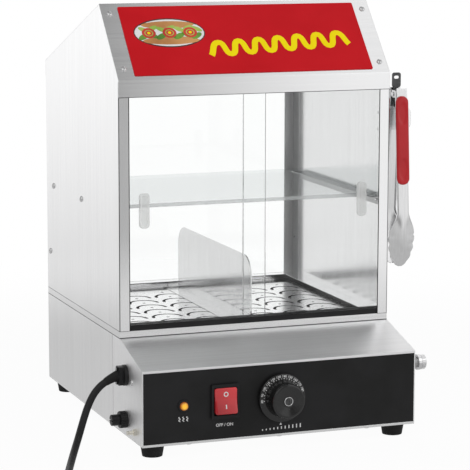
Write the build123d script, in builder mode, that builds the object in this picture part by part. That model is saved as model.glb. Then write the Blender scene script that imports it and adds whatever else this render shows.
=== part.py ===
"""Hot dog steamer: heated base with a glazed cabinet, sliding doors and serving tongs.

Lengths are millimetres, +Z is up and the front faces -Y. The helpers below take
working coordinates: x from the cabinet's middle plane, y rearwards from the
cabinet's front face, z upwards from the underside of the base. They are shifted
so that the finished object stands on Z = 0, centred on X and Y.
"""
import os
from math import asin, atan, cos, hypot, radians, sin, tan

from build123d import *

os.makedirs("parts", exist_ok=True)

# ---- sheet metal and overall sizes ----
sheet = 1.2
cabinet_width = 360.0
cabinet_depth = 327.0
ledge_depth = 88.0
base_height = 117.5
panel_edge_height = 94.0
frame_height = 8.5
eave_height = 436.0
ridge_height = 523.5
ridge_depth = 78.5
header_height = 20.5
seam_depth = 30.0
flange_width = 14.0
stile_width = 13.5
fold_width = 18.0

# ---- clearances ----
slip_gap = 0.3
fit_gap = 0.05
hole_gap = 0.2

# ---- feet and screws ----
foot_height = 16.0
foot_top_radius = 15.0
foot_bottom_radius = 12.5
foot_x = 160.0
foot_inset = 23.0
screw_head_radius = 4.0
screw_head_height = 2.2
screw_radius = 2.0
screw_length = 8.0
screw_row_x = 118.0
screw_row_inset = 10.0
dome_radius = 3.6
dome_height = 1.8
dome_shank_radius = 1.5
rivet_radius = 4.0
rivet_shank_radius = 1.6

# ---- control panel ----
panel_thickness = 2.0
panel_lip = 3.0
window_x = 150.0
window_bottom = 14.0
window_top = 80.0
knob_x = -1.0
knob_z = 49.0
knob_standoff = 1.5
skirt_radius = 30.5
skirt_thickness = 5.0
grip_radius = 23.0
grip_taper = 2.0
knob_length = 28.0
dish_depth = 2.5
shaft_radius = 3.0
bushing_radius = 5.0
knob_screw_radius = 5.5
knob_screw_height = 2.0
knob_screw_shank = 1.5
thermostat_width = 40.0
thermostat_height = 34.0
thermostat_depth = 28.0
switch_x = -74.5
switch_z = 50.0
bezel_width = 36.0
bezel_height = 43.0
bezel_thickness = 3.5
switch_wall = 1.0
switch_depth = 26.0
rocker_width = 29.0
rocker_height = 32.4
rocker_room = 0.5
rocker_axis_depth = 4.0
rocker_apex = 6.5
rocker_tilt = 6.0
rocker_pin_radius = 1.5
lamp_x = -127.5
lamp_z = 48.0
lamp_bezel_radius = 7.5
lamp_bezel_thickness = 2.0
lamp_barrel_radius = 6.0
lamp_depth = 22.0
lens_radius = 5.4
lens_height = 3.0

# ---- fittings on the left cheek ----
cord_radius = 4.5
cord_y = -23.0
cord_z = 76.5
grip_flange_radius = 13.0
grip_flange_thickness = 4.5
grip_reach = 12.0
grip_clamp_width = 15.0
grip_clamp_height = 23.0
grip_clamp_depth = 6.0
grip_boss_radius = 2.6
grip_boss_spread = 8.2
grip_barrel_radius = 8.0
grip_nut_size = 22.0
fuse_y = -23.0
fuse_z = 21.0
fuse_flange_radius = 10.0
fuse_flange_thickness = 9.0
fuse_barrel_radius = 7.5
fuse_barrel_depth = 32.0
fuse_stem_radius = 5.0
fuse_stem_length = 12.0
fuse_cap_radius = 7.0
fuse_cap_length = 10.5
earth_y = -64.0
earth_z = 14.0
earth_radius = 2.5
earth_reach = 12.0
earth_depth = 10.0
earth_nut_size = 8.0
earth_nut_height = 4.0
cheek_screw_y = -48.0
cheek_screw_z = 72.0
bracket_front = -70.0
bracket_rear = -36.0
bracket_z = 60.0
bracket_reach = 58.0
terminal_width = 44.0
terminal_depth = 22.0
terminal_height = 18.0

# ---- drain on the right cheek ----
drain_x = 138.0
drain_y = -30.0
drain_z = 65.0
drain_radius = 7.0
drain_wall = 1.5
drain_bend = 18.0
drain_reach = 36.0
drain_nut_size = 22.0
drain_nut_height = 6.0
drain_cap_overlap = 7.0
drain_cap_radius = 10.0
drain_knob_radius = 9.0
drain_collar_length = 4.0
drain_cap_length = 11.0

# ---- water tank and heater ----
tank_opening_x = 152.0
tank_opening_front = 28.0
tank_rear_deck = 53.0
tank_gap = 0.5
tank_wall = 1.0
tank_bottom = 55.0
tank_rim = 8.5
tank_corner = 4.0
heater_radius = 4.0
heater_x = 90.0
heater_bend = 30.0
heater_lift = 8.5
heater_tail = 20.5
heater_margin = 28.0
heater_nut_size = 14.0
heater_nut_height = 5.0
capillary_radius = 1.2
bulb_radius = 3.0
bulb_length = 80.0
bulb_z = 76.0
cutout_radius = 11.0
cutout_thickness = 10.0
cutout_x = 40.0
cutout_z = 88.0

# ---- cabinet fittings ----
glass = 4.0
rear_glass_x = 172.0
rear_glass_drop = 16.0
post_leg = 13.1
post_depth = 21.8
post_drop = 12.0
track_depth = 15.6
track_height = 7.0
track_floor = 1.2
top_track_height = 16.0
track_lip = 2.0
groove_gap = 0.3
rib = 2.4
door_x = 172.0
door_overlap = 13.8
door_lift = 0.3
door_drop = 8.0
handle_width = 13.0
handle_height = 44.0
handle_thickness = 3.0
handle_x = 147.0
handle_lift = 149.0
handle_corner = 5.0
rear_handle_thickness = 2.6
shelf_thickness = 5.0
shelf_lift = 148.5
shelf_front = 30.0
shelf_rear_gap = 13.0
shelf_gap = 2.3
rail_front = 28.0
rail_rear_gap = 2.0
rail_rivet_inset = 4.0
post_rivet_inset = 14.0
post_rivet_lift = 52.0
rail_drop = 11.0
rail_leg = 11.6

# ---- steaming floor ----
plate_thickness = 1.5
plate_inner = 23.0
plate_outer = 161.0
plate_front = 20.0
plate_seat = 8.0
slot_radius = 19.0
slot_width = 4.0
dot_radius = 2.0
column_first = 36.5
column_pitch = 47.5
row_first = 33.7
row_pitch = 33.0
bar_x = 22.5
bar_seat_x = 31.0
bar_front = 20.0
bar_rear_gap = 25.0
divider_thickness = 1.4
divider_height = 86.0
divider_corner = 26.0
tab_length = 30.0
tab_depth = 8.0
tab_inset = 56.0

# ---- hood and sign ----
sign_side = 22.0
sign_margin = 5.3
sign_thickness = 0.8
sign_screw_side = 10.0
sign_screw_low = 16.5
sign_screw_drop = 15.6

# ---- tongs and their holder ----
holder_thickness = 1.5
holder_y = 25.0
holder_leg = 17.0
holder_drop = 84.0
holder_height = 39.0
holder_screw_y = 33.7
holder_screw_lift = 9.0
holder_screw_pitch = 21.0
holder_tab_lift = 8.0
holder_tab_height = 28.0
holder_tab_reach = 42.0
holder_corner = 8.0
tongs_reach = 24.0
tongs_pin_lift = 18.0
tongs_pin_radius = 2.0
tongs_pin_head = 3.0
arm_thickness = 1.2
arm_width = 15.0
arm_offset = 10.5
arm_lean = 4.0
arm_top = 8.0
arm_straight = 150.0
ear_radius = 5.0
ear_step = 0.2
head_bend = 200.0
head_drop = 73.0
head_width = 36.0
head_shoulder = 9.0
scallop_count = 4
tongs_grip_width = 18.0
tongs_grip_length = 114.0
tongs_grip_thickness = 3.0
tongs_grip_dimple = 1.0
spring_wire = 0.5
spring_turns = 7
spring_leg = 10.0
lock_width = 6.0
lock_thickness = 1.4
lock_offset = 4.1
lock_shift = 1.0
lock_bar_height = 2.5
lock_bar_half = 4.0
lock_tab_lift = 8.0
lock_tab_height = 19.0
lock_tab_width = 12.0

# ---- power cord ----
coil_radius = 50.0
coil_width = 22.0
coil_height = 20.0
coil_x = -251.0
coil_y = -248.0
coil_approach = 14.0
plug_length = 40.0
plug_width = 26.0
plug_height = 24.0
blade_length = 17.0
blade_width = 6.3
blade_thickness = 1.5
blade_spacing = 12.7
earth_pin_radius = 2.4
earth_pin_length = 20.0
earth_pin_drop = 8.0

# ---- derived values ----
half_width = cabinet_width / 2
inner_half = half_width - sheet
front_edge = -ledge_depth
floor_height = base_height + frame_height
panel_back = front_edge + panel_thickness
foot_front_y = front_edge + foot_inset
foot_rear_y = cabinet_depth - foot_inset
tank_opening_rear = cabinet_depth - tank_rear_deck
rear_glass_front = cabinet_depth - sheet - glass
rear_glass_top = eave_height - rear_glass_drop
post_top = eave_height - post_drop
shelf_z = floor_height + shelf_lift
handle_z = floor_height + handle_lift
rail_rear = rear_glass_front - post_depth - rail_rear_gap
shelf_rear = rail_rear - shelf_rear_gap
plate_rear = tank_opening_rear + plate_seat
bar_rear = cabinet_depth - bar_rear_gap
tab_front_y = bar_front + tab_inset
tab_rear_y = bar_rear - tab_inset
holder_bottom = eave_height - holder_drop
holder_top = holder_bottom + holder_height
holder_screw_low = holder_bottom + holder_screw_lift
holder_screw_high = holder_screw_low + holder_screw_pitch
holder_tab_bottom = holder_bottom + holder_tab_lift
holder_tab_top = holder_tab_bottom + holder_tab_height
tongs_pin_z = holder_tab_top + tongs_pin_lift
lock_tab_bottom = tongs_pin_z + lock_tab_lift
lock_tab_top = lock_tab_bottom + lock_tab_height
panel_top = panel_edge_height - panel_lip
ring_back = panel_back + sheet
deck_under = base_height - sheet
header_bottom = eave_height - header_height
ledge_slope = atan((base_height - panel_edge_height) / ledge_depth)
ledge_drop = sheet / cos(ledge_slope)
hood_length = hypot(ridge_depth, ridge_height - eave_height)
sign_width = cabinet_width - 2 * sign_side
sign_height = hood_length - 2 * sign_margin
sign_screw_x = half_width - sign_screw_side
sign_screw_high = hood_length - sign_screw_drop
knob_front = front_edge - knob_length
tongs_x = half_width + tongs_reach
tongs_y = holder_y + holder_thickness / 2
tank_front = tank_opening_front + tank_gap
tank_rear = tank_opening_rear - tank_gap
tank_half = tank_opening_x - tank_gap
rim_top = base_height + tank_wall
plate_top = rim_top + plate_thickness

right_reach = max(
    half_width + holder_tab_reach,
    tongs_x + head_width / 2,
    half_width + drain_reach - drain_cap_overlap + drain_cap_length,
)
left_reach = half_width + fuse_flange_thickness + fuse_cap_length
datum_x = (left_reach - right_reach) / 2
datum_y = -(knob_front + cabinet_depth + sheet) / 2
datum_z = foot_height


def point(x, y, z):
    return Vector(datum_x + x, datum_y + y, datum_z + z)


def level(z):
    return Plane(origin=point(0, 0, z))


def upright(y):
    return Plane(origin=point(0, y, 0), x_dir=(1, 0, 0), z_dir=(0, -1, 0))


def profile(x):
    return Plane(origin=point(x, 0, 0), x_dir=(0, 1, 0), z_dir=(1, 0, 0))


def block(x0, x1, y0, y1, z0, z1, mode=Mode.ADD):
    with Locations(point((x0 + x1) / 2, (y0 + y1) / 2, (z0 + z1) / 2)):
        Box(abs(x1 - x0), abs(y1 - y0), abs(z1 - z0), mode=mode)


def rod(start, end, radius, mode=Mode.ADD):
    base = point(*start)
    run = point(*end) - base
    with Locations(Plane(origin=base, z_dir=run)):
        Cylinder(radius, run.length, align=(Align.CENTER, Align.CENTER, Align.MIN), mode=mode)


def tube_run(start, end, radius, bore):
    rod(start, end, radius)
    rod(start, end, bore, Mode.SUBTRACT)


def outline(plane, points):
    with BuildSketch(plane) as face:
        with BuildLine():
            Polyline(*points, close=True)
        make_face()
    return face.sketch


def across(points, x0, x1, mode=Mode.ADD):
    """Prism of a side outline between two x positions."""
    extrude(outline(profile(min(x0, x1)), points), amount=abs(x1 - x0), mode=mode)


def nut(start, end, size, bore):
    """Hexagon nut or collar between two centre points."""
    base = point(*start)
    run = point(*end) - base
    with BuildSketch(Plane(origin=base, z_dir=run)) as face:
        RegularPolygon(size / 2, 6, major_radius=False)
        Circle(bore, mode=Mode.SUBTRACT)
    extrude(face.sketch, amount=run.length)


def turned(start, direction, points):
    """Solid of revolution; points are (radius, height along the axis)."""
    axis = Vector(*direction)
    radial = Vector(0, 1, 0) if abs(axis.X) > 0.5 else Vector(1, 0, 0)
    plane = Plane(origin=point(*start), x_dir=radial, z_dir=radial.cross(axis))
    with BuildPart() as body:
        with BuildSketch(plane):
            with BuildLine():
                Polyline(*points, close=True)
            make_face()
        revolve(axis=Axis(point(*start), axis))
    return body.part


def mitre(before, corner, after, depth):
    """Offset a corner to the right of the walking direction."""
    first = Vector(corner[0] - before[0], corner[1] - before[1]).normalized()
    second = Vector(after[0] - corner[0], after[1] - corner[1]).normalized()
    shift = Vector(first.Y + second.Y, -first.X - second.X)
    shift = shift * (depth / (1 + first.dot(second)))
    return (corner[0] + shift.X, corner[1] + shift.Y)


def band(points, depth):
    """Closed outline of a strip of material along an open line of points."""
    before = (2 * points[0][0] - points[1][0], 2 * points[0][1] - points[1][1])
    after = (2 * points[-1][0] - points[-2][0], 2 * points[-1][1] - points[-2][1])
    line = [before] + list(points) + [after]
    inner = [mitre(line[i - 1], line[i], line[i + 1], depth) for i in range(1, len(line) - 1)]
    return list(points) + inner[::-1]


cabinet_line = [
    (0, floor_height),
    (0, eave_height),
    (ridge_depth, ridge_height),
    (cabinet_depth, eave_height),
    (cabinet_depth, floor_height),
]
rail_rivet_z = shelf_z - rail_drop * 0.45
rail_rivets_left = [(rail_front + rail_rear) / 2, rail_rear - rail_rivet_inset]
rail_rivets_right = [rail_front + rail_rivet_inset + sheet, rail_rear - rail_rivet_inset]
post_rivet = (cabinet_depth - post_rivet_inset, floor_height + post_rivet_lift)
foot_places = [(side * foot_x, y) for side in (-1, 1) for y in (foot_front_y, foot_rear_y)]
screw_row_y = front_edge + screw_row_inset
side_screw_x = inner_half - flange_width / 2
plate_screws = [(x, screw_row_y) for x in (-screw_row_x, 0, screw_row_x)]
plate_screws += [(side * side_screw_x, y) for side in (-1, 1) for y in (-ledge_depth / 3, 2 * seam_depth, cabinet_depth * 0.73)]
plate_screws += [(x, cabinet_depth - sheet - flange_width / 2) for x in (-screw_row_x, screw_row_x)]
slope_along = Vector(0, ridge_depth, ridge_height - eave_height).normalized()
slope_normal = Vector(0, eave_height - ridge_height, ridge_depth).normalized()
sign_screws = [(side * sign_screw_x, s) for side in (-1, 1) for s in (sign_screw_low, sign_screw_high)]


def on_hood(x, along, height):
    """Working coordinates of a place on the sloped hood, above its outer face."""
    spot = slope_along * along + slope_normal * (sheet + height)
    return (x, spot.Y, eave_height + spot.Z)


def screw_holes(places, z0, z1):
    for x, y in places:
        rod((x, y, z0), (x, y, z1), screw_radius, Mode.SUBTRACT)


# ======================= base =======================
with BuildPart() as bottom_plate:
    block(-half_width, half_width, front_edge, cabinet_depth, 0, sheet)
    block(-inner_half, inner_half, front_edge, front_edge + sheet, 0, panel_lip)
    screw_holes(plate_screws + foot_places, -1, sheet + 1)
bottom_plate.part.label = "bottom plate"

with BuildPart() as base_shell:
    block(-half_width, half_width, 0, cabinet_depth, deck_under, base_height)
    for side in (-1, 1):
        block(side * inner_half, side * half_width, seam_depth, cabinet_depth, sheet, deck_under)
        block(side * (inner_half - flange_width), side * inner_half, seam_depth,
              cabinet_depth, sheet, 2 * sheet)
    block(-half_width, half_width, cabinet_depth - sheet, cabinet_depth, sheet, deck_under)
    block(-half_width, half_width, cabinet_depth - sheet - flange_width, cabinet_depth,
          sheet, 2 * sheet)
    with BuildSketch(level(deck_under - 1)) as tank_opening:
        with Locations((0, (tank_opening_front + tank_opening_rear) / 2)):
            RectangleRounded(2 * tank_opening_x, tank_opening_rear - tank_opening_front,
                             tank_corner + tank_gap)
    extrude(tank_opening.sketch, amount=sheet + 2, mode=Mode.SUBTRACT)
    screw_holes(plate_screws, 0, 3 * sheet)
base_shell.part.label = "base shell"

cheek_line = [
    (front_edge, sheet),
    (seam_depth, sheet),
    (seam_depth, deck_under),
    (0, deck_under),
    (0, base_height),
    (front_edge, panel_edge_height),
]
ledge_corner = mitre((front_edge, panel_top), (front_edge, panel_edge_height), (0, base_height), sheet)
ledge_line = [
    (front_edge, panel_top),
    (front_edge, panel_edge_height),
    (0, base_height),
    (0, base_height - ledge_drop),
    ledge_corner,
    (front_edge + sheet, panel_top),
]
left = -half_width
right = half_width
with BuildPart() as control_housing:
    for side in (-1, 1):
        across(cheek_line, side * inner_half, side * half_width)
        block(side * (inner_half - sheet), side * inner_half, seam_depth - 10, seam_depth + 12,
              2 * sheet + 1, deck_under - 4)
        block(side * (inner_half - flange_width), side * inner_half, ring_back, seam_depth - 1,
              sheet, 2 * sheet)
    across(ledge_line, -half_width, half_width)
    block(-half_width, half_width, -sheet / tan(ledge_slope) * 0.9, flange_width + 4,
          deck_under - sheet, deck_under)
    block(-inner_half, inner_half, panel_back, ring_back, sheet,
          panel_edge_height + panel_thickness * tan(ledge_slope) - sheet / 2)
    block(-inner_half, inner_half, panel_back, panel_back + flange_width + 2, sheet, 2 * sheet)
    block(-window_x, window_x, panel_back - 1, ring_back + 1, window_bottom, window_top,
          Mode.SUBTRACT)
    screw_holes(plate_screws, 0, 3 * sheet)
    rod((left - 1, cord_y, cord_z), (left + 3, cord_y, cord_z), grip_barrel_radius, Mode.SUBTRACT)
    rod((left - 1, fuse_y, fuse_z), (left + 3, fuse_y, fuse_z), fuse_barrel_radius, Mode.SUBTRACT)
    rod((left - 1, earth_y, earth_z), (left + 3, earth_y, earth_z), earth_radius, Mode.SUBTRACT)
    rod((left - 1, cheek_screw_y, cheek_screw_z), (left + 3, cheek_screw_y, cheek_screw_z),
        dome_shank_radius, Mode.SUBTRACT)
    rod((right + 1, drain_y, drain_z), (right - 3, drain_y, drain_z), drain_radius, Mode.SUBTRACT)
control_housing.part.label = "control housing"

switch_room_x = rocker_width / 2 + slip_gap
switch_room_z = rocker_height / 2 + 2 * rocker_room
switch_body_x = switch_room_x + switch_wall
switch_body_z = switch_room_z + switch_wall
with BuildPart() as front_panel:
    block(-inner_half, inner_half, front_edge, panel_back, panel_lip, panel_top)
    rod((knob_x, front_edge - 1, knob_z), (knob_x, panel_back + 1, knob_z), bushing_radius,
        Mode.SUBTRACT)
    rod((lamp_x, front_edge - 1, lamp_z), (lamp_x, panel_back + 1, lamp_z), lamp_barrel_radius,
        Mode.SUBTRACT)
    block(switch_x - switch_body_x, switch_x + switch_body_x, front_edge - 1, panel_back + 1,
          switch_z - switch_body_z, switch_z + switch_body_z, Mode.SUBTRACT)
front_panel.part.label = "control panel"

counterbore = screw_head_radius + 1
foot_web = foot_height / 2
with BuildPart() as feet:
    for x, y in foot_places:
        add(turned((x, y, 0), (0, 0, -1), [
            (screw_radius, 0),
            (foot_top_radius, 0),
            (foot_top_radius, 1.5),
            (foot_bottom_radius, foot_height),
            (counterbore, foot_height),
            (counterbore, foot_web),
            (screw_radius, foot_web),
        ]))
feet.part.label = "rubber feet"

with BuildPart() as bottom_screws:
    for x, y in plate_screws:
        rod((x, y, -screw_head_height), (x, y, 0), screw_head_radius)
        rod((x, y, 0), (x, y, screw_length), screw_radius)
    for x, y in foot_places:
        rod((x, y, -foot_web - screw_head_height), (x, y, -foot_web), screw_head_radius)
        rod((x, y, -foot_web), (x, y, screw_length), screw_radius)
    for x, y in foot_places:
        nut((x, y, sheet), (x, y, sheet + 3.2), 7.0, screw_radius)
bottom_screws.part.label = "base screws"

# ======================= water tank and heater =======================
heater_z = tank_bottom + tank_wall + heater_lift
heater_y = tank_front - heater_tail
tank_middle = (tank_front + tank_rear) / 2


def tank_shape(z, margin, corner):
    with BuildSketch(level(z)) as face:
        with Locations((0, tank_middle)):
            RectangleRounded(2 * (tank_half + margin), tank_rear - tank_front + 2 * margin, corner)
    return face.sketch


with BuildPart() as water_tank:
    extrude(tank_shape(tank_bottom, 0, tank_corner), amount=rim_top - tank_bottom)
    extrude(tank_shape(base_height, tank_rim, tank_corner + tank_rim), amount=tank_wall)
    extrude(tank_shape(tank_bottom + tank_wall, -tank_wall, tank_corner - tank_wall),
            amount=rim_top - tank_bottom, mode=Mode.SUBTRACT)
    for side in (-1, 1):
        rod((side * heater_x, tank_front - 1, heater_z), (side * heater_x, tank_front + 2, heater_z),
            heater_radius, Mode.SUBTRACT)
    rod((drain_x, tank_front - 1, drain_z), (drain_x, tank_front + 2, drain_z), drain_radius,
        Mode.SUBTRACT)
    rod((knob_x + 12, tank_front - 1, bulb_z), (knob_x + 12, tank_front + 2, bulb_z),
        capillary_radius, Mode.SUBTRACT)
water_tank.part.label = "water tank"

with BuildPart() as heating_element:
    with BuildLine():
        FilletPolyline(
            point(-heater_x, heater_y, heater_z),
            point(-heater_x, tank_rear - heater_margin, heater_z),
            point(heater_x, tank_rear - heater_margin, heater_z),
            point(heater_x, heater_y, heater_z),
            radius=heater_bend,
        )
    with BuildSketch(upright(heater_y)):
        with Locations((-heater_x, heater_z)):
            Circle(heater_radius)
    sweep()
heating_element.part.label = "heating element"

with BuildPart() as heater_nuts:
    for side in (-1, 1):
        for start in (tank_front - heater_nut_height, tank_front + tank_wall):
            nut((side * heater_x, start, heater_z), (side * heater_x, start + heater_nut_height, heater_z),
                heater_nut_size, heater_radius)
heater_nuts.part.label = "heater nuts"

thermostat_back = panel_back + thermostat_depth
capillary_x = knob_x + 12
with BuildPart() as thermostat:
    block(knob_x - thermostat_width / 2, knob_x + thermostat_width / 2, panel_back, thermostat_back,
          knob_z - thermostat_height / 2, knob_z + thermostat_height / 2)
    rod((knob_x, panel_back, knob_z), (knob_x, front_edge - knob_standoff / 2, knob_z), bushing_radius)
    rod((knob_x, front_edge - 5, knob_z), (knob_x, thermostat_back - 4, knob_z),
        shaft_radius + fit_gap, Mode.SUBTRACT)
    with BuildLine():
        FilletPolyline(
            point(capillary_x, thermostat_back - 1, knob_z),
            point(capillary_x, thermostat_back + 20, knob_z),
            point(capillary_x, tank_front - 25, bulb_z),
            point(capillary_x, tank_front + 12, bulb_z),
            radius=12,
        )
    with BuildSketch(upright(thermostat_back - 1)):
        with Locations((capillary_x, knob_z)):
            Circle(capillary_radius)
    sweep()
    rod((capillary_x, tank_front + 11, bulb_z), (capillary_x, tank_front + 11 + bulb_length, bulb_z),
        bulb_radius)
thermostat.part.label = "thermostat"

with BuildPart() as thermal_cutout:
    rod((cutout_x, tank_front - cutout_thickness, cutout_z), (cutout_x, tank_front, cutout_z),
        cutout_radius)
    for shift in (-5, 5):
        block(cutout_x + shift - 3, cutout_x + shift + 3, tank_front - cutout_thickness - 8,
              tank_front - cutout_thickness, cutout_z - 0.4, cutout_z + 0.4)
thermal_cutout.part.label = "thermal cut-out"

# ======================= controls =======================
knob_base = front_edge - knob_standoff
seat = knob_length - dish_depth
shaft_tip = knob_length - 8.5
with BuildPart() as knob:
    add(turned((knob_x, front_edge, knob_z), (0, -1, 0), [
        (shaft_radius, knob_standoff),
        (skirt_radius - 1, knob_standoff),
        (skirt_radius, knob_standoff + 1),
        (skirt_radius, knob_standoff + skirt_thickness - 1.5),
        (skirt_radius - 1.5, knob_standoff + skirt_thickness),
        (grip_radius, knob_standoff + skirt_thickness + 0.6),
        (grip_radius - grip_taper, knob_length - 1.5),
        (grip_radius - grip_taper - 1.5, knob_length),
        (grip_radius - grip_taper - 3, knob_length),
        (knob_screw_radius + 2, seat),
        (knob_screw_shank, seat),
        (knob_screw_shank, shaft_tip),
        (shaft_radius, shaft_tip),
    ]))
knob.part.label = "temperature knob"

with BuildPart() as thermostat_shaft:
    rod((knob_x, front_edge - shaft_tip, knob_z), (knob_x, thermostat_back - 8, knob_z), shaft_radius)
    rod((knob_x, front_edge - shaft_tip, knob_z), (knob_x, front_edge - shaft_tip + 8, knob_z),
        knob_screw_shank, Mode.SUBTRACT)
thermostat_shaft.part.label = "thermostat shaft"

with BuildPart() as knob_screw:
    add(turned((knob_x, front_edge - seat, knob_z), (0, -1, 0), [
        (0, -(seat - shaft_tip) - 6),
        (knob_screw_shank, -(seat - shaft_tip) - 6),
        (knob_screw_shank, 0),
        (knob_screw_radius, 0),
        (knob_screw_radius, knob_screw_height * 0.5),
        (knob_screw_radius * 0.7, knob_screw_height * 0.9),
        (0, knob_screw_height),
    ]))
knob_screw.part.label = "knob screw"

rocker_axis_y = front_edge + rocker_axis_depth
with BuildPart() as switch_body:
    block(switch_x - bezel_width / 2, switch_x + bezel_width / 2, front_edge - bezel_thickness,
          front_edge, switch_z - bezel_height / 2, switch_z + bezel_height / 2)
    bezel_rim = edges().filter_by(Axis.Y).group_by(Axis.Y)[0]
    fillet(bezel_rim, 2)
    block(switch_x - switch_body_x, switch_x + switch_body_x, front_edge, front_edge + switch_depth,
          switch_z - switch_body_z, switch_z + switch_body_z)
    block(switch_x - switch_room_x, switch_x + switch_room_x, front_edge - bezel_thickness - 1,
          rocker_axis_y + 7, switch_z - switch_room_z, switch_z + switch_room_z, Mode.SUBTRACT)
    rod((switch_x - switch_room_x - 0.5, rocker_axis_y, switch_z),
        (switch_x + switch_room_x + 0.5, rocker_axis_y, switch_z), rocker_pin_radius)
    for shift in (-6, 6):
        block(switch_x - 3, switch_x + 3, front_edge + switch_depth, front_edge + switch_depth + 8,
              switch_z + shift - 0.4, switch_z + shift + 0.4)
switch_body.part.label = "switch body"

half_rocker = rocker_height / 2
rocker_rise = half_rocker * tan(radians(rocker_tilt))


def rocker_line(tilt):
    """Side outline of the rocker, turned about its pivot by an angle in degrees."""
    shape = [
        (-rocker_apex, 0),
        (-rocker_apex - rocker_rise, half_rocker),
        (-2, half_rocker),
        (3, 4),
        (3, -4),
        (-2, -half_rocker),
        (-rocker_apex - rocker_rise, -half_rocker),
    ]
    c = cos(radians(tilt))
    s = sin(radians(tilt))
    return [(rocker_axis_y + y * c - z * s, switch_z + y * s + z * c) for y, z in shape]


with BuildPart() as rocker:
    across(rocker_line(-rocker_tilt), switch_x - rocker_width / 2, switch_x + rocker_width / 2)
    rod((switch_x - rocker_width, rocker_axis_y, switch_z), (switch_x + rocker_width, rocker_axis_y, switch_z),
        rocker_pin_radius + fit_gap, Mode.SUBTRACT)
rocker.part.label = "power switch rocker"

with BuildPart() as lamp_holder:
    add(turned((lamp_x, front_edge, lamp_z), (0, -1, 0), [
        (0, -lamp_depth),
        (lamp_barrel_radius, -lamp_depth),
        (lamp_barrel_radius, 0),
        (lamp_bezel_radius, 0),
        (lamp_bezel_radius, lamp_bezel_thickness * 0.6),
        (lamp_bezel_radius - 0.6, lamp_bezel_thickness),
        (lens_radius, lamp_bezel_thickness),
        (lens_radius, -4),
        (0, -4),
    ]))
    nut((lamp_x, panel_back, lamp_z), (lamp_x, panel_back + 3, lamp_z), 2 * lamp_barrel_radius + 4,
        lamp_barrel_radius)
lamp_holder.part.label = "lamp holder"

with BuildPart() as lamp_lens:
    add(turned((lamp_x, front_edge, lamp_z), (0, -1, 0), [
        (0, -4),
        (lens_radius, -4),
        (lens_radius, lamp_bezel_thickness),
        (lens_radius * 0.9, lamp_bezel_thickness + lens_height * 0.55),
        (lens_radius * 0.6, lamp_bezel_thickness + lens_height * 0.88),
        (0, lamp_bezel_thickness + lens_height),
    ]))
lamp_lens.part.label = "heating lamp lens"

# ======================= fittings on the left cheek =======================
cord_drop = 7.0 / 18.0
clamp_face = left - grip_flange_thickness
with BuildPart() as cord_grip:
    add(turned((left, cord_y, cord_z), (-1, 0, 0), [
        (0, -10),
        (grip_barrel_radius, -10),
        (grip_barrel_radius, 0),
        (grip_flange_radius, 0),
        (grip_flange_radius, grip_flange_thickness - 1),
        (grip_flange_radius - 1, grip_flange_thickness),
        (0, grip_flange_thickness),
    ]))
    with BuildSketch(Plane(origin=point(clamp_face, cord_y, cord_z), x_dir=(0, -1, 0), z_dir=(-1, 0, 0))) as clamp:
        RectangleRounded(grip_clamp_width, grip_clamp_height, 2.5)
    extrude(clamp.sketch, amount=grip_clamp_depth)
    rod((clamp_face, cord_y, cord_z), (left - grip_reach, cord_y, cord_z), cord_radius + 2.4)
    for turn in (-1, 1):
        z = cord_z + turn * grip_boss_spread
        rod((clamp_face, cord_y, z), (left - grip_reach - 0.5, cord_y, z), grip_boss_radius)
    rod((left - grip_reach + 6, cord_y, cord_z + 6 * cord_drop),
        (left - grip_reach - 6, cord_y, cord_z - 6 * cord_drop), cord_radius + hole_gap, Mode.SUBTRACT)
    nut((left + sheet + 5, cord_y, cord_z), (left + sheet, cord_y, cord_z), grip_nut_size,
        grip_barrel_radius)
cord_grip.part.label = "cord grip"

with BuildPart() as fuse_holder:
    tube_run((left, fuse_y, fuse_z), (left - fuse_flange_thickness, fuse_y, fuse_z),
             fuse_flange_radius, fuse_stem_radius + fit_gap)
    rod((left + fuse_barrel_depth, fuse_y, fuse_z), (left, fuse_y, fuse_z), fuse_barrel_radius)
    rod((left - 1, fuse_y, fuse_z), (left - fuse_flange_thickness + fuse_stem_length + 1, fuse_y, fuse_z),
        fuse_stem_radius + fit_gap, Mode.SUBTRACT)
    nut((left + sheet + 5, fuse_y, fuse_z), (left + sheet, fuse_y, fuse_z), grip_nut_size,
        fuse_barrel_radius)
fuse_holder.part.label = "fuse holder"

with BuildPart() as fuse_cap:
    cap_back = left - fuse_flange_thickness
    rod((cap_back + fuse_stem_length, fuse_y, fuse_z), (cap_back, fuse_y, fuse_z), fuse_stem_radius)
    rod((cap_back, fuse_y, fuse_z), (cap_back - fuse_cap_length, fuse_y, fuse_z), fuse_cap_radius)
    cap_rim = edges().filter_by(GeomType.CIRCLE).group_by(Axis.X)[0]
    fillet(cap_rim, 1)
    block(cap_back - fuse_cap_length - 1, cap_back - fuse_cap_length + 2, fuse_y - 8, fuse_y + 8,
          fuse_z - 0.8, fuse_z + 0.8, Mode.SUBTRACT)
fuse_cap.part.label = "fuse cap"

with BuildPart() as earth_terminal:
    rod((left + earth_depth, earth_y, earth_z), (left - earth_reach, earth_y, earth_z), earth_radius)
    nut((left, earth_y, earth_z), (left - earth_nut_height, earth_y, earth_z), earth_nut_size,
        earth_radius)
    nut((left + sheet + earth_nut_height, earth_y, earth_z), (left + sheet, earth_y, earth_z),
        earth_nut_size, earth_radius)
earth_terminal.part.label = "earth terminal"

bracket_x = left + sheet
with BuildPart() as component_bracket:
    block(bracket_x, bracket_x + sheet, bracket_front, bracket_rear, bracket_z, cheek_screw_z + 6)
    block(bracket_x, bracket_x + bracket_reach, bracket_front, bracket_rear, bracket_z, bracket_z + sheet)
    rod((bracket_x - 1, cheek_screw_y, cheek_screw_z), (bracket_x + 3, cheek_screw_y, cheek_screw_z),
        dome_shank_radius, Mode.SUBTRACT)
component_bracket.part.label = "component bracket"

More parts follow.
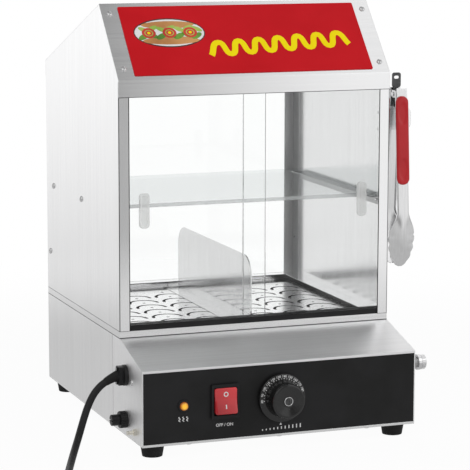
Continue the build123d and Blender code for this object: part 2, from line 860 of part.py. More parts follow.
terminal_x = bracket_x + bracket_reach - terminal_width
terminal_front = (bracket_front + bracket_rear - terminal_depth) / 2
terminal_z = bracket_z + sheet
with BuildPart() as terminal_block:
    block(terminal_x, terminal_x + terminal_width, terminal_front, terminal_front + terminal_depth,
          terminal_z, terminal_z + terminal_height * 0.55)
    block(terminal_x, terminal_x + terminal_width, terminal_front + terminal_depth * 0.25,
          terminal_front + terminal_depth * 0.75, terminal_z, terminal_z + terminal_height)
    for i in range(4):
        x = terminal_x + terminal_width * (i + 0.5) / 4
        for share in (0.12, 0.88):
            y = terminal_front + terminal_depth * share
            rod((x, y, terminal_z + terminal_height * 0.55), (x, y, terminal_z + terminal_height * 0.55 + 2),
                1.8)
terminal_block.part.label = "terminal block"

# ======================= drain =======================
drain_tip = right + drain_reach
drain_route = [
    (drain_x, tank_front + tank_wall, drain_z),
    (drain_x, drain_y, drain_z),
    (drain_tip, drain_y, drain_z),
]


def drain_sweep(radius):
    with BuildPart() as body:
        with BuildLine():
            FilletPolyline(*[point(*p) for p in drain_route], radius=drain_bend)
        with BuildSketch(Plane(origin=point(*drain_route[0]), x_dir=(1, 0, 0), z_dir=(0, -1, 0))):
            Circle(radius)
        sweep()
    return body.part


with BuildPart() as drain_pipe:
    add(drain_sweep(drain_radius))
    add(drain_sweep(drain_radius - drain_wall), mode=Mode.SUBTRACT)
drain_pipe.part.label = "drain pipe"

with BuildPart() as drain_nuts:
    nut((right, drain_y, drain_z), (right + drain_nut_height, drain_y, drain_z), drain_nut_size,
        drain_radius)
    nut((right - sheet - drain_nut_height, drain_y, drain_z), (right - sheet, drain_y, drain_z),
        drain_nut_size, drain_radius)
    nut((drain_x, tank_front - drain_nut_height, drain_z), (drain_x, tank_front, drain_z),
        drain_nut_size - 3, drain_radius)
drain_nuts.part.label = "drain nuts"

cap_start = drain_tip - drain_cap_overlap
with BuildPart() as drain_cap:
    add(turned((cap_start, drain_y, drain_z), (1, 0, 0), [
        (drain_radius + fit_gap, 0),
        (drain_cap_radius, 0),
        (drain_cap_radius, drain_collar_length),
        (drain_knob_radius, drain_collar_length),
        (drain_knob_radius, drain_cap_length - 1),
        (drain_knob_radius - 1, drain_cap_length),
        (0, drain_cap_length),
        (0, drain_cap_overlap + slip_gap),
        (drain_radius + fit_gap, drain_cap_overlap + slip_gap),
    ]))
drain_cap.part.label = "drain cap"

# ======================= cabinet shell =======================
with BuildPart() as bottom_frame:
    block(-half_width, half_width, 0, cabinet_depth, base_height, floor_height)
    block(-inner_half, inner_half, sheet, cabinet_depth - sheet, base_height - 1, floor_height - sheet,
          Mode.SUBTRACT)
    block(-half_width + fold_width, half_width - fold_width, fold_width, cabinet_depth - fold_width,
          base_height, floor_height + 1, Mode.SUBTRACT)
bottom_frame.part.label = "cabinet bottom frame"


def side_panel(side, rivet_ys):
    with BuildPart() as body:
        across(cabinet_line, side * inner_half, side * half_width)
        across(band(cabinet_line, sheet), side * (half_width - stile_width), side * half_width)
        for y, z in [(y, rail_rivet_z) for y in rivet_ys] + [post_rivet]:
            rod((side * (half_width + 1), y, z), (side * (inner_half - 1), y, z), rivet_shank_radius,
                Mode.SUBTRACT)
        if side > 0:
            for z in (holder_screw_low, holder_screw_high):
                rod((half_width + 1, holder_screw_y, z), (inner_half - 1, holder_screw_y, z),
                    dome_shank_radius, Mode.SUBTRACT)
        for x, along in sign_screws:
            if x * side > 0:
                rod(on_hood(x, along, 1), on_hood(x, along, -4 * sheet), dome_shank_radius, Mode.SUBTRACT)
    return body.part


side_panel_left = side_panel(-1, rail_rivets_left)
side_panel_left.label = "left side panel"
side_panel_right = side_panel(1, rail_rivets_right)
side_panel_right.label = "right side panel"

front_line = [(0, header_bottom), (0, eave_height), (ridge_depth, ridge_height), (cabinet_depth, eave_height)]
hood_band = band(front_line, -sheet)
rear_line = [(ridge_depth, ridge_height), (cabinet_depth, eave_height), (cabinet_depth, header_bottom)]
roof_band = band([(0, eave_height)] + rear_line, -sheet)
ridge_tip = hood_band[5]
with BuildPart() as hood_front:
    across(front_line[:3] + [ridge_tip] + hood_band[6:], -half_width, half_width)
    for x, along in sign_screws:
        rod(on_hood(x, along, 1), on_hood(x, along, -3 * sheet), dome_shank_radius, Mode.SUBTRACT)
hood_front.part.label = "hood front"

with BuildPart() as roof_panel:
    across(rear_line + roof_band[4:6] + [ridge_tip], -half_width, half_width)
roof_panel.part.label = "roof panel"

hood_plane = Plane(
    origin=point(*on_hood(0, hood_length / 2, 0)), x_dir=(1, 0, 0), z_dir=slope_normal
)
with BuildPart() as sign_panel:
    with BuildSketch(hood_plane):
        RectangleRounded(sign_width, sign_height, 2)
    extrude(amount=sign_thickness)
sign_panel.part.label = "sign panel"

with BuildPart() as dome_screws:
    for x, along in sign_screws:
        start = Vector(*on_hood(x, along, 0))
        add(turned((start.X, start.Y, start.Z), (0, slope_normal.Y, slope_normal.Z), [
            (0, -2.5 * sheet), (dome_shank_radius, -2.5 * sheet), (dome_shank_radius, 0),
            (dome_radius, 0), (dome_radius * 0.8, dome_height * 0.7), (0, dome_height),
        ]))
    places = [((half_width + holder_thickness, holder_screw_y, z), (1, 0, 0))
              for z in (holder_screw_low, holder_screw_high)]
    places += [((left, cheek_screw_y, cheek_screw_z), (-1, 0, 0))]
    for start, direction in places:
        add(turned(start, direction, [
            (0, -5), (dome_shank_radius, -5), (dome_shank_radius, 0),
            (dome_radius, 0), (dome_radius * 0.8, dome_height * 0.7), (0, dome_height),
        ]))
dome_screws.part.label = "dome screws"

with BuildPart() as rear_glass:
    block(-rear_glass_x, rear_glass_x, rear_glass_front, cabinet_depth - sheet, floor_height,
          rear_glass_top)
rear_glass.part.label = "rear glass"

with BuildPart() as rear_posts:
    for side in (-1, 1):
        block(side * (inner_half - sheet), side * inner_half, rear_glass_front - post_depth,
              rear_glass_front, floor_height, post_top)
        block(side * (inner_half - sheet - post_leg), side * inner_half, rear_glass_front - sheet,
              rear_glass_front, floor_height, post_top)
        rod((side * half_width, post_rivet[0], post_rivet[1]),
            (side * (inner_half - 3), post_rivet[0], post_rivet[1]), rivet_shank_radius, Mode.SUBTRACT)
rear_posts.part.label = "rear corner posts"

with BuildPart() as shelf_rails:
    for side, rivet_ys in ((-1, rail_rivets_left), (1, rail_rivets_right)):
        block(side * (inner_half - sheet), side * inner_half, rail_front, rail_rear,
              shelf_z - rail_drop, shelf_z)
        block(side * (inner_half - sheet - rail_leg), side * inner_half, rail_front, rail_rear,
              shelf_z - sheet, shelf_z)
        for y in rivet_ys:
            rod((side * half_width, y, rail_rivet_z), (side * (inner_half - 3), y, rail_rivet_z),
                rivet_shank_radius, Mode.SUBTRACT)
shelf_rails.part.label = "shelf rails"

with BuildPart() as side_rivets:
    for side, rivet_ys in ((-1, rail_rivets_left), (1, rail_rivets_right)):
        for y, z in [(y, rail_rivet_z) for y in rivet_ys] + [post_rivet]:
            add(turned((side * half_width, y, z), (side, 0, 0), [
                (0, -3 * sheet), (rivet_shank_radius, -3 * sheet), (rivet_shank_radius, 0),
                (rivet_radius, 0), (rivet_radius * 0.8, dome_height * 0.7), (0, dome_height),
            ]))
side_rivets.part.label = "side rivets"

# ======================= doors, shelf and floor =======================
track_x = inner_half - slip_gap
track_front = sheet
groove = glass + 2 * groove_gap
front_glass_y = track_front + track_lip + groove_gap
rear_glass_y = front_glass_y + glass + groove_gap + rib + groove_gap
door_bottom = floor_height + track_floor + door_lift
top_track_z = header_bottom
groove_top = top_track_z + top_track_height - track_lip
door_top = groove_top - door_drop
with BuildPart() as door_tracks:
    block(-track_x, track_x, track_front, track_front + track_depth, floor_height,
          floor_height + track_height)
    block(-track_x, track_x, track_front, track_front + track_depth, top_track_z,
          top_track_z + top_track_height)
    lip_x = half_width - stile_width - slip_gap
    block(-lip_x, lip_x, 0, track_front, top_track_z, top_track_z + top_track_height)
    for y in (front_glass_y, rear_glass_y):
        block(-half_width, half_width, y - groove_gap, y + glass + groove_gap,
              floor_height + track_floor, floor_height + track_height + 1, Mode.SUBTRACT)
        block(-half_width, half_width, y - groove_gap, y + glass + groove_gap, top_track_z - 1,
              groove_top, Mode.SUBTRACT)
door_tracks.part.label = "door tracks"

with BuildPart() as left_door:
    block(-door_x, door_overlap, front_glass_y, front_glass_y + glass, door_bottom, door_top)
left_door.part.label = "left door glass"

with BuildPart() as right_door:
    block(-door_overlap, door_x, rear_glass_y, rear_glass_y + glass, door_bottom, door_top)
right_door.part.label = "right door glass"


def handle(x, face_y, thickness):
    with BuildPart() as body:
        with BuildSketch(upright(face_y)):
            with Locations((x, handle_z)):
                RectangleRounded(handle_width, handle_height, handle_corner)
        extrude(amount=thickness)
    return body.part


left_handle = handle(-handle_x, front_glass_y, handle_thickness)
left_handle.label = "left door handle"
right_handle = handle(handle_x, rear_glass_y, rear_handle_thickness)
right_handle.label = "right door handle"

with BuildPart() as glass_shelf:
    shelf_x = inner_half - shelf_gap
    block(-shelf_x, shelf_x, shelf_front, shelf_rear, shelf_z, shelf_z + shelf_thickness)
glass_shelf.part.label = "glass shelf"

column_count = int((plate_outer - column_first) / column_pitch) + 1
row_count = int((plate_rear - row_first) / row_pitch) + 1
columns = [column_first + column_pitch * i for i in range(column_count)]
rows = [row_first + row_pitch * i for i in range(row_count)]
slot_arc = CenterArc((0, 0), slot_radius, 0, 180)


def steam_plate(side):
    with BuildPart() as body:
        with BuildSketch(level(rim_top)):
            with Locations((side * (plate_inner + plate_outer) / 2, (plate_front + plate_rear) / 2)):
                Rectangle(plate_outer - plate_inner, plate_rear - plate_front)
            with Locations(*[(side * x, y) for x in columns for y in rows if y < plate_rear - slot_radius]):
                SlotArc(slot_arc, slot_width, mode=Mode.SUBTRACT)
            with Locations(*[(side * x, y) for x in columns for y in rows]):
                Circle(dot_radius, mode=Mode.SUBTRACT)
        extrude(amount=plate_thickness)
    return body.part


plate_left = steam_plate(-1)
plate_left.label = "left steam plate"
plate_right = steam_plate(1)
plate_right.label = "right steam plate"

divider_half = divider_thickness / 2
with BuildPart() as centre_bar:
    block(-bar_x, bar_x, bar_front, bar_rear, rim_top, plate_top)
    block(-bar_seat_x, bar_seat_x, tank_front + tank_wall + hole_gap, tank_rear - tank_wall - hole_gap,
          rim_top - sheet, rim_top)
    for y in (tab_front_y, tab_rear_y):
        block(-divider_half - slip_gap, divider_half + slip_gap, y - tab_length / 2 - 0.5,
              y + tab_length / 2 + 0.5, rim_top - 2 * sheet, plate_top + 1, Mode.SUBTRACT)
centre_bar.part.label = "centre bar"

with BuildPart() as divider:
    with BuildSketch(profile(-divider_half)):
        with Locations(((bar_front + bar_rear) / 2, plate_top + divider_height / 2)):
            Rectangle(bar_rear - bar_front, divider_height)
        fillet(vertices().group_by(Axis.Y)[-1], divider_corner)
        for y in (tab_front_y, tab_rear_y):
            with Locations((y, plate_top - tab_depth / 2)):
                Rectangle(tab_length, tab_depth)
    extrude(amount=divider_thickness)
divider.part.label = "divider"

# ======================= tongs and holder =======================
with BuildPart() as tongs_holder:
    block(half_width, half_width + holder_thickness, holder_y, holder_y + holder_leg, holder_bottom,
          holder_top)
    with BuildSketch(upright(holder_y + holder_thickness)) as tab:
        with Locations((half_width + holder_tab_reach / 2, (holder_tab_bottom + holder_tab_top) / 2)):
            Rectangle(holder_tab_reach, holder_tab_top - holder_tab_bottom)
        fillet(vertices().group_by(Axis.X)[-1], holder_corner)
    extrude(tab.sketch, amount=holder_thickness)
    for z in (holder_screw_low, holder_screw_high):
        rod((half_width - 1, holder_screw_y, z), (half_width + 3, holder_screw_y, z), dome_shank_radius,
            Mode.SUBTRACT)
tongs_holder.part.label = "tongs holder"

lean_cos = cos(radians(arm_lean))
lean_sin = sin(radians(arm_lean))
ear_outer = arm_width / 2
ear_inner = ear_outer - arm_thickness - ear_step


def arm_plane(side, x=0.0):
    """Plane on an arm's outer face: local y runs up the arm, z points outwards."""
    origin = point(tongs_x + x, tongs_y + side * arm_offset, tongs_pin_z)
    return Plane(origin=origin, x_dir=(-side, 0, 0), z_dir=(0, side * lean_cos, lean_sin))


def tongs_arm(side, ear_x):
    """One arm: straight sprung strip, curved scalloped head and a pair of pivot ears."""
    start_angle = radians(arm_lean)
    foot_y = arm_offset + arm_straight * lean_sin
    foot_z = tongs_pin_z - arm_straight * lean_cos
    head_y = foot_y - head_bend * lean_cos
    head_z = foot_z - head_bend * lean_sin
    head_base = foot_z - head_drop
    inner_bend = head_bend - arm_thickness
    end_angle = -asin((head_z - head_base) / head_bend)
    middle = (start_angle + end_angle) / 2

    def spot(radius, angle):
        return (tongs_y + side * (head_y + radius * cos(angle)), head_z + radius * sin(angle))

    def strip(inset, up):
        y = arm_offset - up * lean_sin - inset * lean_cos
        z = tongs_pin_z + up * lean_cos - inset * lean_sin
        return (tongs_y + side * y, z)

    with BuildPart() as body:
        with BuildSketch(profile(tongs_x - head_width / 2)) as section:
            with BuildLine():
                Line(strip(0, arm_top), strip(0, -arm_straight))
                ThreePointArc(strip(0, -arm_straight), spot(head_bend, middle), spot(head_bend, end_angle))
                Line(spot(head_bend, end_angle), spot(inner_bend, end_angle))
                ThreePointArc(spot(inner_bend, end_angle), spot(inner_bend, middle),
                              strip(arm_thickness, -arm_straight))
                Line(strip(arm_thickness, -arm_straight), strip(arm_thickness, arm_top))
                Line(strip(arm_thickness, arm_top), strip(0, arm_top))
            make_face()
        extrude(section.sketch, amount=head_width)
        scallop = head_width / scallop_count / 2
        with BuildSketch(upright(tongs_y + 60)) as face:
            with Locations((tongs_x, (tongs_pin_z + 20 + head_base + scallop) / 2)):
                Rectangle(arm_width, tongs_pin_z + 20 - head_base - scallop)
            with Locations((tongs_x, (foot_z + head_base + scallop) / 2)):
                Rectangle(head_width, foot_z - head_base - scallop)
            corners = [v for v in face.vertices() if abs(v.Y - foot_z) < 1 and abs(v.X - tongs_x) > arm_width]
            fillet(corners, head_shoulder)
            for i in range(scallop_count):
                x = tongs_x - head_width / 2 + scallop * (2 * i + 1)
                with Locations((x, head_base + scallop)):
                    Circle(scallop)
        extrude(face.sketch, amount=120, mode=Mode.INTERSECT)
        for turn in (-1, 1):
            start = tongs_x + turn * ear_x
            ear_y = arm_offset - arm_thickness / 2
            block(start, start - turn * arm_thickness, tongs_y, tongs_y + side * ear_y,
                  tongs_pin_z - ear_radius, tongs_pin_z + ear_radius)
            rod((start, tongs_y, tongs_pin_z), (start - turn * arm_thickness, tongs_y, tongs_pin_z),
                ear_radius)
        rod((tongs_x - arm_width, tongs_y, tongs_pin_z), (tongs_x + arm_width, tongs_y, tongs_pin_z),
            tongs_pin_radius + fit_gap, Mode.SUBTRACT)
    return body.part


tongs_arm_front = tongs_arm(-1, ear_outer)
tongs_arm_front.label = "front tongs arm"
tongs_arm_rear = tongs_arm(1, ear_inner)
tongs_arm_rear.label = "rear tongs arm"


def tongs_grip(side):
    with BuildPart() as body:
        with BuildSketch(arm_plane(side)):
            with Locations((0, -tongs_grip_length / 2 - 2)):
                RectangleRounded(tongs_grip_width, tongs_grip_length, tongs_grip_width / 2 - 0.5)
        extrude(amount=tongs_grip_thickness)
        rim = faces().sort_by(Axis.Y)[0 if side < 0 else -1].edges()
        fillet(rim, 1)
        with BuildSketch(arm_plane(side).offset(tongs_grip_thickness - tongs_grip_dimple)):
            with Locations((0, -tongs_grip_width)):
                SlotOverall(tongs_grip_width * 1.2, tongs_grip_width * 0.55, rotation=90)
        extrude(amount=tongs_grip_thickness, mode=Mode.SUBTRACT)
    return body.part


grip_front = tongs_grip(-1)
grip_front.label = "front tongs grip"
grip_rear = tongs_grip(1)
grip_rear.label = "rear tongs grip"

with BuildPart() as tongs_pin:
    rod((tongs_x - ear_outer - hole_gap, tongs_y, tongs_pin_z),
        (tongs_x + ear_outer + hole_gap, tongs_y, tongs_pin_z), tongs_pin_radius)
    for turn in (-1, 1):
        rod((tongs_x + turn * (ear_outer + hole_gap), tongs_y, tongs_pin_z),
            (tongs_x + turn * (ear_outer + hole_gap + 1), tongs_y, tongs_pin_z), tongs_pin_head)
tongs_pin.part.label = "tongs pivot pin"

spring_pitch = 2 * spring_wire
spring_length = spring_pitch * spring_turns
spring_outer = tongs_pin_radius + 2 * spring_wire
spring_line = [(tongs_pin_radius, 0)]
for i in range(spring_turns):
    spring_line += [
        (spring_outer - spring_wire * 0.6, spring_pitch * i),
        (spring_outer, spring_pitch * (i + 0.25)),
        (spring_outer, spring_pitch * (i + 0.75)),
    ]
spring_line += [(spring_outer - spring_wire * 0.6, spring_length), (tongs_pin_radius, spring_length)]
with BuildPart() as tongs_spring:
    add(turned((tongs_x - spring_length / 2, tongs_y, tongs_pin_z), (1, 0, 0), spring_line))
    for turn in (-1, 1):
        x = tongs_x + turn * (spring_length / 2 - spring_wire)
        top = tongs_pin_z - tongs_pin_radius - spring_wire
        rod((x, tongs_y, top), (x, tongs_y + turn * (arm_offset - arm_thickness - 2.2), top - spring_leg),
            spring_wire)
tongs_spring.part.label = "tongs spring"

lock_x = tongs_x - lock_shift
lock_y = tongs_y + lock_offset
lock_bar_z = holder_tab_top + slip_gap
with BuildPart() as tongs_lock:
    block(lock_x - lock_width / 2, lock_x + lock_width / 2, lock_y - lock_thickness / 2,
          lock_y + lock_thickness / 2, lock_bar_z, lock_tab_bottom + 2)
    block(lock_x - lock_width / 2, lock_x + lock_width / 2, tongs_y - lock_bar_half,
          lock_y + lock_thickness / 2, lock_bar_z, lock_bar_z + lock_bar_height)
    with BuildSketch(upright(lock_y + lock_thickness / 2)) as pull:
        with Locations((lock_x, (lock_tab_bottom + lock_tab_top) / 2)):
            RectangleRounded(lock_tab_width, lock_tab_top - lock_tab_bottom, 3)
        with Locations((lock_x, lock_tab_top - 6)):
            SlotOverall(7, 4, mode=Mode.SUBTRACT)
    extrude(pull.sketch, amount=lock_thickness)
tongs_lock.part.label = "tongs lock"

# ======================= power cord =======================
coil_bottom = -foot_height
cord_floor = coil_bottom + cord_radius
coil_touch = coil_radius + coil_width / 2 + cord_radius + slip_gap
cord_points = [
    (left - 7.0, cord_y, cord_z + 2.0),
    (left - 25.0, cord_y, cord_z - 5.0),
    (left - 39.5, cord_y - 0.5, cord_z - 17.0),
    (left - 49.5, cord_y - 3.5, cord_z - 33.0),
    (left - 58.5, cord_y - 12.0, cord_z - 50.0),
    (left - 69.0, cord_y - 27.0, cord_z - 66.5),
    (left - 82.0, cord_y - 50.0, cord_z - 79.5),
    (left - 96.0, cord_y - 82.0, coil_bottom + 5.5),
    (left - 111.0, cord_y - 122.0, coil_bottom + 5.0),
    (left - 124.0, cord_y - 165.0, cord_floor),
    (coil_x - coil_touch * cos(radians(coil_approach)), coil_y + coil_touch * sin(radians(coil_approach)),
     cord_floor),
]
tail_points = [
    (coil_x - 2.0, coil_y - coil_touch, cord_floor),
    (coil_x + 28.0, coil_y - coil_touch, cord_floor + 0.5),
    (coil_x + 60.0, coil_y - coil_touch - 4.0, coil_bottom + plug_height / 2 - 2.0),
    (coil_x + 88.0, coil_y - coil_touch - 6.0, coil_bottom + plug_height / 2),
]


def bend_radii(points):
    radii = []
    for before, corner, after in zip(points, points[1:], points[2:]):
        first = point(*corner) - point(*before)
        second = point(*after) - point(*corner)
        half_turn = radians(first.get_angle(second)) / 2
        radii.append(0.45 * min(first.length, second.length) / tan(half_turn))
    return radii


def cord_run(points):
    start = point(*points[0])
    radii = bend_radii(points)
    print("bend radii:", [round(r, 1) for r in radii])
    with BuildPart() as body:
        with BuildLine() as path:
            FilletPolyline(*[point(*p) for p in points], radius=radii)
        with BuildSketch(Plane(origin=start, z_dir=point(*points[1]) - start)):
            Circle(cord_radius)
        sweep(path=path.line)
    return body.part


with BuildPart() as power_cord:
    add(cord_run(cord_points))
    add(cord_run(tail_points))
power_cord.part.label = "power cord"

with BuildPart() as cord_coil:
    with BuildSketch(Plane(origin=point(coil_x, coil_y, coil_bottom), x_dir=(1, 0, 0), z_dir=(0, -1, 0))):
        with Locations((coil_radius, coil_height / 2)):
            RectangleRounded(coil_width, coil_height, cord_radius)
    revolve(axis=Axis(point(coil_x, coil_y, coil_bottom), (0, 0, 1)))
cord_coil.part.label = "cord coil"

plug_start = tail_points[-1]
plug_x = plug_start[0] - 6.0
plug_z = coil_bottom + plug_height / 2
with BuildPart() as plug_body:
    with BuildSketch(Plane(origin=point(plug_x, plug_start[1], plug_z), x_dir=(0, 1, 0), z_dir=(1, 0, 0))):
        RectangleRounded(plug_width * 0.5, plug_height * 0.55, 4)
    with BuildSketch(Plane(origin=point(plug_x + plug_length * 0.55, plug_start[1], plug_z),
                           x_dir=(0, 1, 0), z_dir=(1, 0, 0))):
        RectangleRounded(plug_width, plug_height, 7)
    loft()
    with BuildSketch(Plane(origin=point(plug_x + plug_length * 0.55, plug_start[1], plug_z),
                           x_dir=(0, 1, 0), z_dir=(1, 0, 0))) as plug_face:
        RectangleRounded(plug_width, plug_height, 7)
    extrude(plug_face.sketch, amount=plug_length * 0.45)
    add(cord_run(tail_points), mode=Mode.SUBTRACT)
plug_body.part.label = "plug body"

plug_end = plug_x + plug_length
with BuildPart() as plug_pins:
    for turn in (-1, 1):
        y = plug_start[1] + turn * blade_spacing / 2
        block(plug_end, plug_end + blade_length, y - blade_thickness / 2, y + blade_thickness / 2,
              plug_z + 2, plug_z + 2 + blade_width)
    rod((plug_end, plug_start[1], plug_z + 5 - earth_pin_drop),
        (plug_end + earth_pin_length, plug_start[1], plug_z + 5 - earth_pin_drop), earth_pin_radius)
plug_pins.part.label = "plug pins"

# ======================= export =======================
pieces = {
    "bottom_plate": bottom_plate.part,
    "base_shell": base_shell.part,
    "control_housing": control_housing.part,
    "front_panel": front_panel.part,
    "feet": feet.part,
    "bottom_screws": bottom_screws.part,
    "water_tank": water_tank.part,
    "heating_element": heating_element.part,
    "heater_nuts": heater_nuts.part,
    "thermostat": thermostat.part,
    "thermal_cutout": thermal_cutout.part,
    "knob": knob.part,
    "thermostat_shaft": thermostat_shaft.part,
    "knob_screw": knob_screw.part,
    "switch_body": switch_body.part,
    "rocker": rocker.part,
    "lamp_holder": lamp_holder.part,
    "lamp_lens": lamp_lens.part,
    "cord_grip": cord_grip.part,
    "fuse_holder": fuse_holder.part,
    "fuse_cap": fuse_cap.part,
    "earth_terminal": earth_terminal.part,
    "component_bracket": component_bracket.part,
    "terminal_block": terminal_block.part,
    "drain_pipe": drain_pipe.part,
    "drain_nuts": drain_nuts.part,
    "drain_cap": drain_cap.part,
    "bottom_frame": bottom_frame.part,
    "side_panel_left": side_panel_left,
    "side_panel_right": side_panel_right,
    "hood_front": hood_front.part,
    "roof_panel": roof_panel.part,
    "sign_panel": sign_panel.part,
    "dome_screws": dome_screws.part,
    "rear_glass": rear_glass.part,
    "rear_posts": rear_posts.part,
    "shelf_rails": shelf_rails.part,
    "side_rivets": side_rivets.part,
    "door_tracks": door_tracks.part,
    "left_door": left_door.part,
    "left_handle": left_handle,
    "right_door": right_door.part,
    "right_handle": right_handle,
    "glass_shelf": glass_shelf.part,
    "plate_left": plate_left,
    "plate_right": plate_right,
    "centre_bar": centre_bar.part,
    "divider": divider.part,
    "tongs_holder": tongs_holder.part,
    "tongs_arm_front": tongs_arm_front,
    "tongs_arm_rear": tongs_arm_rear,
    "grip_front": grip_front,
    "grip_rear": grip_rear,
    "tongs_pin": tongs_pin.part,
    "tongs_spring": tongs_spring.part,
    "tongs_lock": tongs_lock.part,
    "power_cord": power_cord.part,
    "cord_coil": cord_coil.part,
    "plug_body": plug_body.part,
    "plug_pins": plug_pins.part,
}
for name, piece in pieces.items():
    export_step(piece, f"parts/{name}.step")
    box = piece.bounding_box()
    print(f"{name}: {len(piece.solids())} solid(s), volume {piece.volume:.0f}",
          f"x {box.min.X:.1f}..{box.max.X:.1f} y {box.min.Y:.1f}..{box.max.Y:.1f}",
          f"z {box.min.Z:.1f}..{box.max.Z:.1f}")
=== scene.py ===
# %% [markdown]
# Hot dog steamer, dressed for its portrait.
# The machine is a box of folded stainless sheet. A low base holds the heater and the controls, and
# a glazed cabinet with a sloped red sign stands on it. Its solid parts come in already placed, so
# this lesson never moves them. It gives them their finishes, and it models what sheet metal drawing
# leaves plain: the cord, the knob, the tongs, the glass, the screws and the printing.

# %% Load the parts
from math import atan2, cos, degrees, hypot, pi, radians, sin

import bmesh
import bpy
from mathutils import Matrix, Vector


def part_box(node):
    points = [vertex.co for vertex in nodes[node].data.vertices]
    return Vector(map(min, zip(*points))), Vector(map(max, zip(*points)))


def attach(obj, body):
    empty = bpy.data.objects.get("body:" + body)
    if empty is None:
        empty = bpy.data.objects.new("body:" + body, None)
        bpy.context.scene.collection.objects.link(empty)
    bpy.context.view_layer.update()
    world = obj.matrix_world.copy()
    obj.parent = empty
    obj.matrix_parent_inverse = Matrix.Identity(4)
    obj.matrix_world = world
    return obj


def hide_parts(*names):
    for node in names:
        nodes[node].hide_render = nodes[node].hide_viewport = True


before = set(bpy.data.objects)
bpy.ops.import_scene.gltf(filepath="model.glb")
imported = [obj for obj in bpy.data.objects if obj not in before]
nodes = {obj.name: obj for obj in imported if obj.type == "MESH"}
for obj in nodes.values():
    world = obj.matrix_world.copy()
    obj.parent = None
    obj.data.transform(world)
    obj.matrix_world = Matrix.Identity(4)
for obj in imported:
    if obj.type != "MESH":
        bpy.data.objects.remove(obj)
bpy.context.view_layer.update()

# %% [markdown]
# Metal workers measure from faces that they can touch. Here x runs from the cabinet's middle, y
# backwards from its front face and z up from the underside of the base, all in millimetres. Every
# place could be written in metres of the shared frame instead, but then no number could be checked
# with a ruler. So one small function turns the one into the other.

# %% Millimetres to metres
datum = Vector((-11.25, -106.1, 16.0))


def at(x, y, z):
    """A place in working millimetres, as a point of the frame in metres."""
    return (Vector((x, y, z)) + datum) / 1000


print("floor in front of the base:", at(0, -88, -16)[:])

# %% [markdown]
# A product portrait is taken from far away with a long lens, which keeps upright edges upright. The
# camera stands a little to the left and above, and looks down by nine degrees. It could be turned
# by three angles, but their order is easy to get wrong, so its axes are written out as three
# directions.

# %% Camera
yaw, pitch, roll = radians(20.42), radians(-9.14), radians(0.106)
ahead = Vector((sin(yaw) * cos(pitch), cos(yaw) * cos(pitch), sin(pitch)))
level_right = Vector((cos(yaw), -sin(yaw), 0))
level_up = level_right.cross(ahead)
right = level_right * cos(roll) + level_up * sin(roll)
up = level_up * cos(roll) - level_right * sin(roll)
bpy.ops.object.camera_add(location=(-0.98418, -2.64212, 0.69021))
camera = bpy.context.active_object
camera.name = "portrait_camera"
camera.rotation_euler = Matrix((right, up, -ahead)).transposed().to_euler()
camera.data.sensor_width = 36.0
camera.data.lens = 168.15
camera.data.clip_end = 100.0
bpy.context.scene.camera = camera
print("lens:", camera.data.lens, "mm")

# %% [markdown]
# The mains lead is a round rubber cord, 9 mm thick. It leaves its clamp level, bends down under its
# own weight, runs off along the table and is wound up, two turns side by side and two on top. It
# could be left to a simulation, but a drawn route comes out the same every time. The coil's points
# belong to the same line as the rest, so that the cord stays unbroken down to its plug. They are
# set out a little, because a spline cuts inside its points.

# %% Cord: its route
cord_radius = 4.5
table_z = cord_radius - datum.z
lead = [
    (-187, -23, 78.5), (-205, -23, 71.5), (-219.5, -23.5, 59.5), (-229.5, -26.5, 43.5),
    (-238.5, -35, 26.5), (-249, -50, 10), (-262, -73, -3), (-276, -105, -10.5),
    (-291, -145, -11), (-304, -188, -11.5),
]
tail = [(-223, -313.8, -11), (-191, -317.8, -6), (-163, -319.8, -4)]
coil_middle = (-251, -248)
meeting_angle = 166
winding, spacings = 1544, 69
spline_share = 0.75 + 0.25 * cos(radians(22.0))
radius_steps = [(0, 65.8), (70, 54.5), (360, 54.5), (430, 45.5), (700, 45.5), (750, 43.6),
                (800, 45.5), (1010, 45.5), (1080, 54.6), (1370, 54.6), (1440, 64.2), (1480, 66.0),
                (winding, 65.8)]
height_steps = [(0, table_z), (690, table_z), (740, -5.0), (790, -2.4), (1440, -2.4),
                (1475, -4.0), (1510, -8.0), (winding, table_z)]


def soft(share):
    """0 up to 0, 1 from 1 on, with a soft start and end between."""
    share = min(1, max(0, share))
    return share * share * (3 - 2 * share)


def eased(steps, wound):
    """The value at an angle, softly led from step to step."""
    for (start, low), (end, high) in zip(steps, steps[1:]):
        if wound <= end:
            return low + (high - low) * soft((wound - start) / (end - start))
    return steps[-1][1]


coil = []
for i in range(spacings + 1):
    wound = winding * i / spacings
    angle = radians(meeting_angle + wound)
    reach = eased(radius_steps, wound) / spline_share
    coil.append((coil_middle[0] + reach * cos(angle), coil_middle[1] + reach * sin(angle),
                 eased(height_steps, wound)))
route = lead + coil + tail
print("cord points:", len(route))

# %% [markdown]
# The points become one curve. A Bezier curve would pass through every point, but its handles would
# need setting one by one. A NURBS curve of order three keeps near the points and rounds every bend
# between them, as rubber does. Its bare line is kept, because the length is measured along it.

# %% Cord: its line
bpy.ops.object.select_all(action="DESELECT")
curve = bpy.data.curves.new("power_cord_line", "CURVE")
curve.dimensions = "3D"
spline = curve.splines.new("NURBS")
spline.points.add(len(route) - 1)
for place, spot in zip(spline.points, route):
    place.co = (*at(*spot), 1)
spline.order_u = 3
spline.use_endpoint_u = True
spline.resolution_u = 6
cord = bpy.data.objects.new("mains_cord", curve)
bpy.context.scene.collection.objects.link(cord)
bare = bpy.data.meshes.new_from_object(cord)
cord_line = [v.co.copy() for v in bare.vertices]

# %% [markdown]
# The lead only needs a round bevel along its curve. Where it leaves the clamp, a soft rubber sleeve
# thins away from it. A cone would do on a straight lead, but here it would drift off the bend. So
# the sleeve follows the first centimetres of the same line, with its own radius at each point.

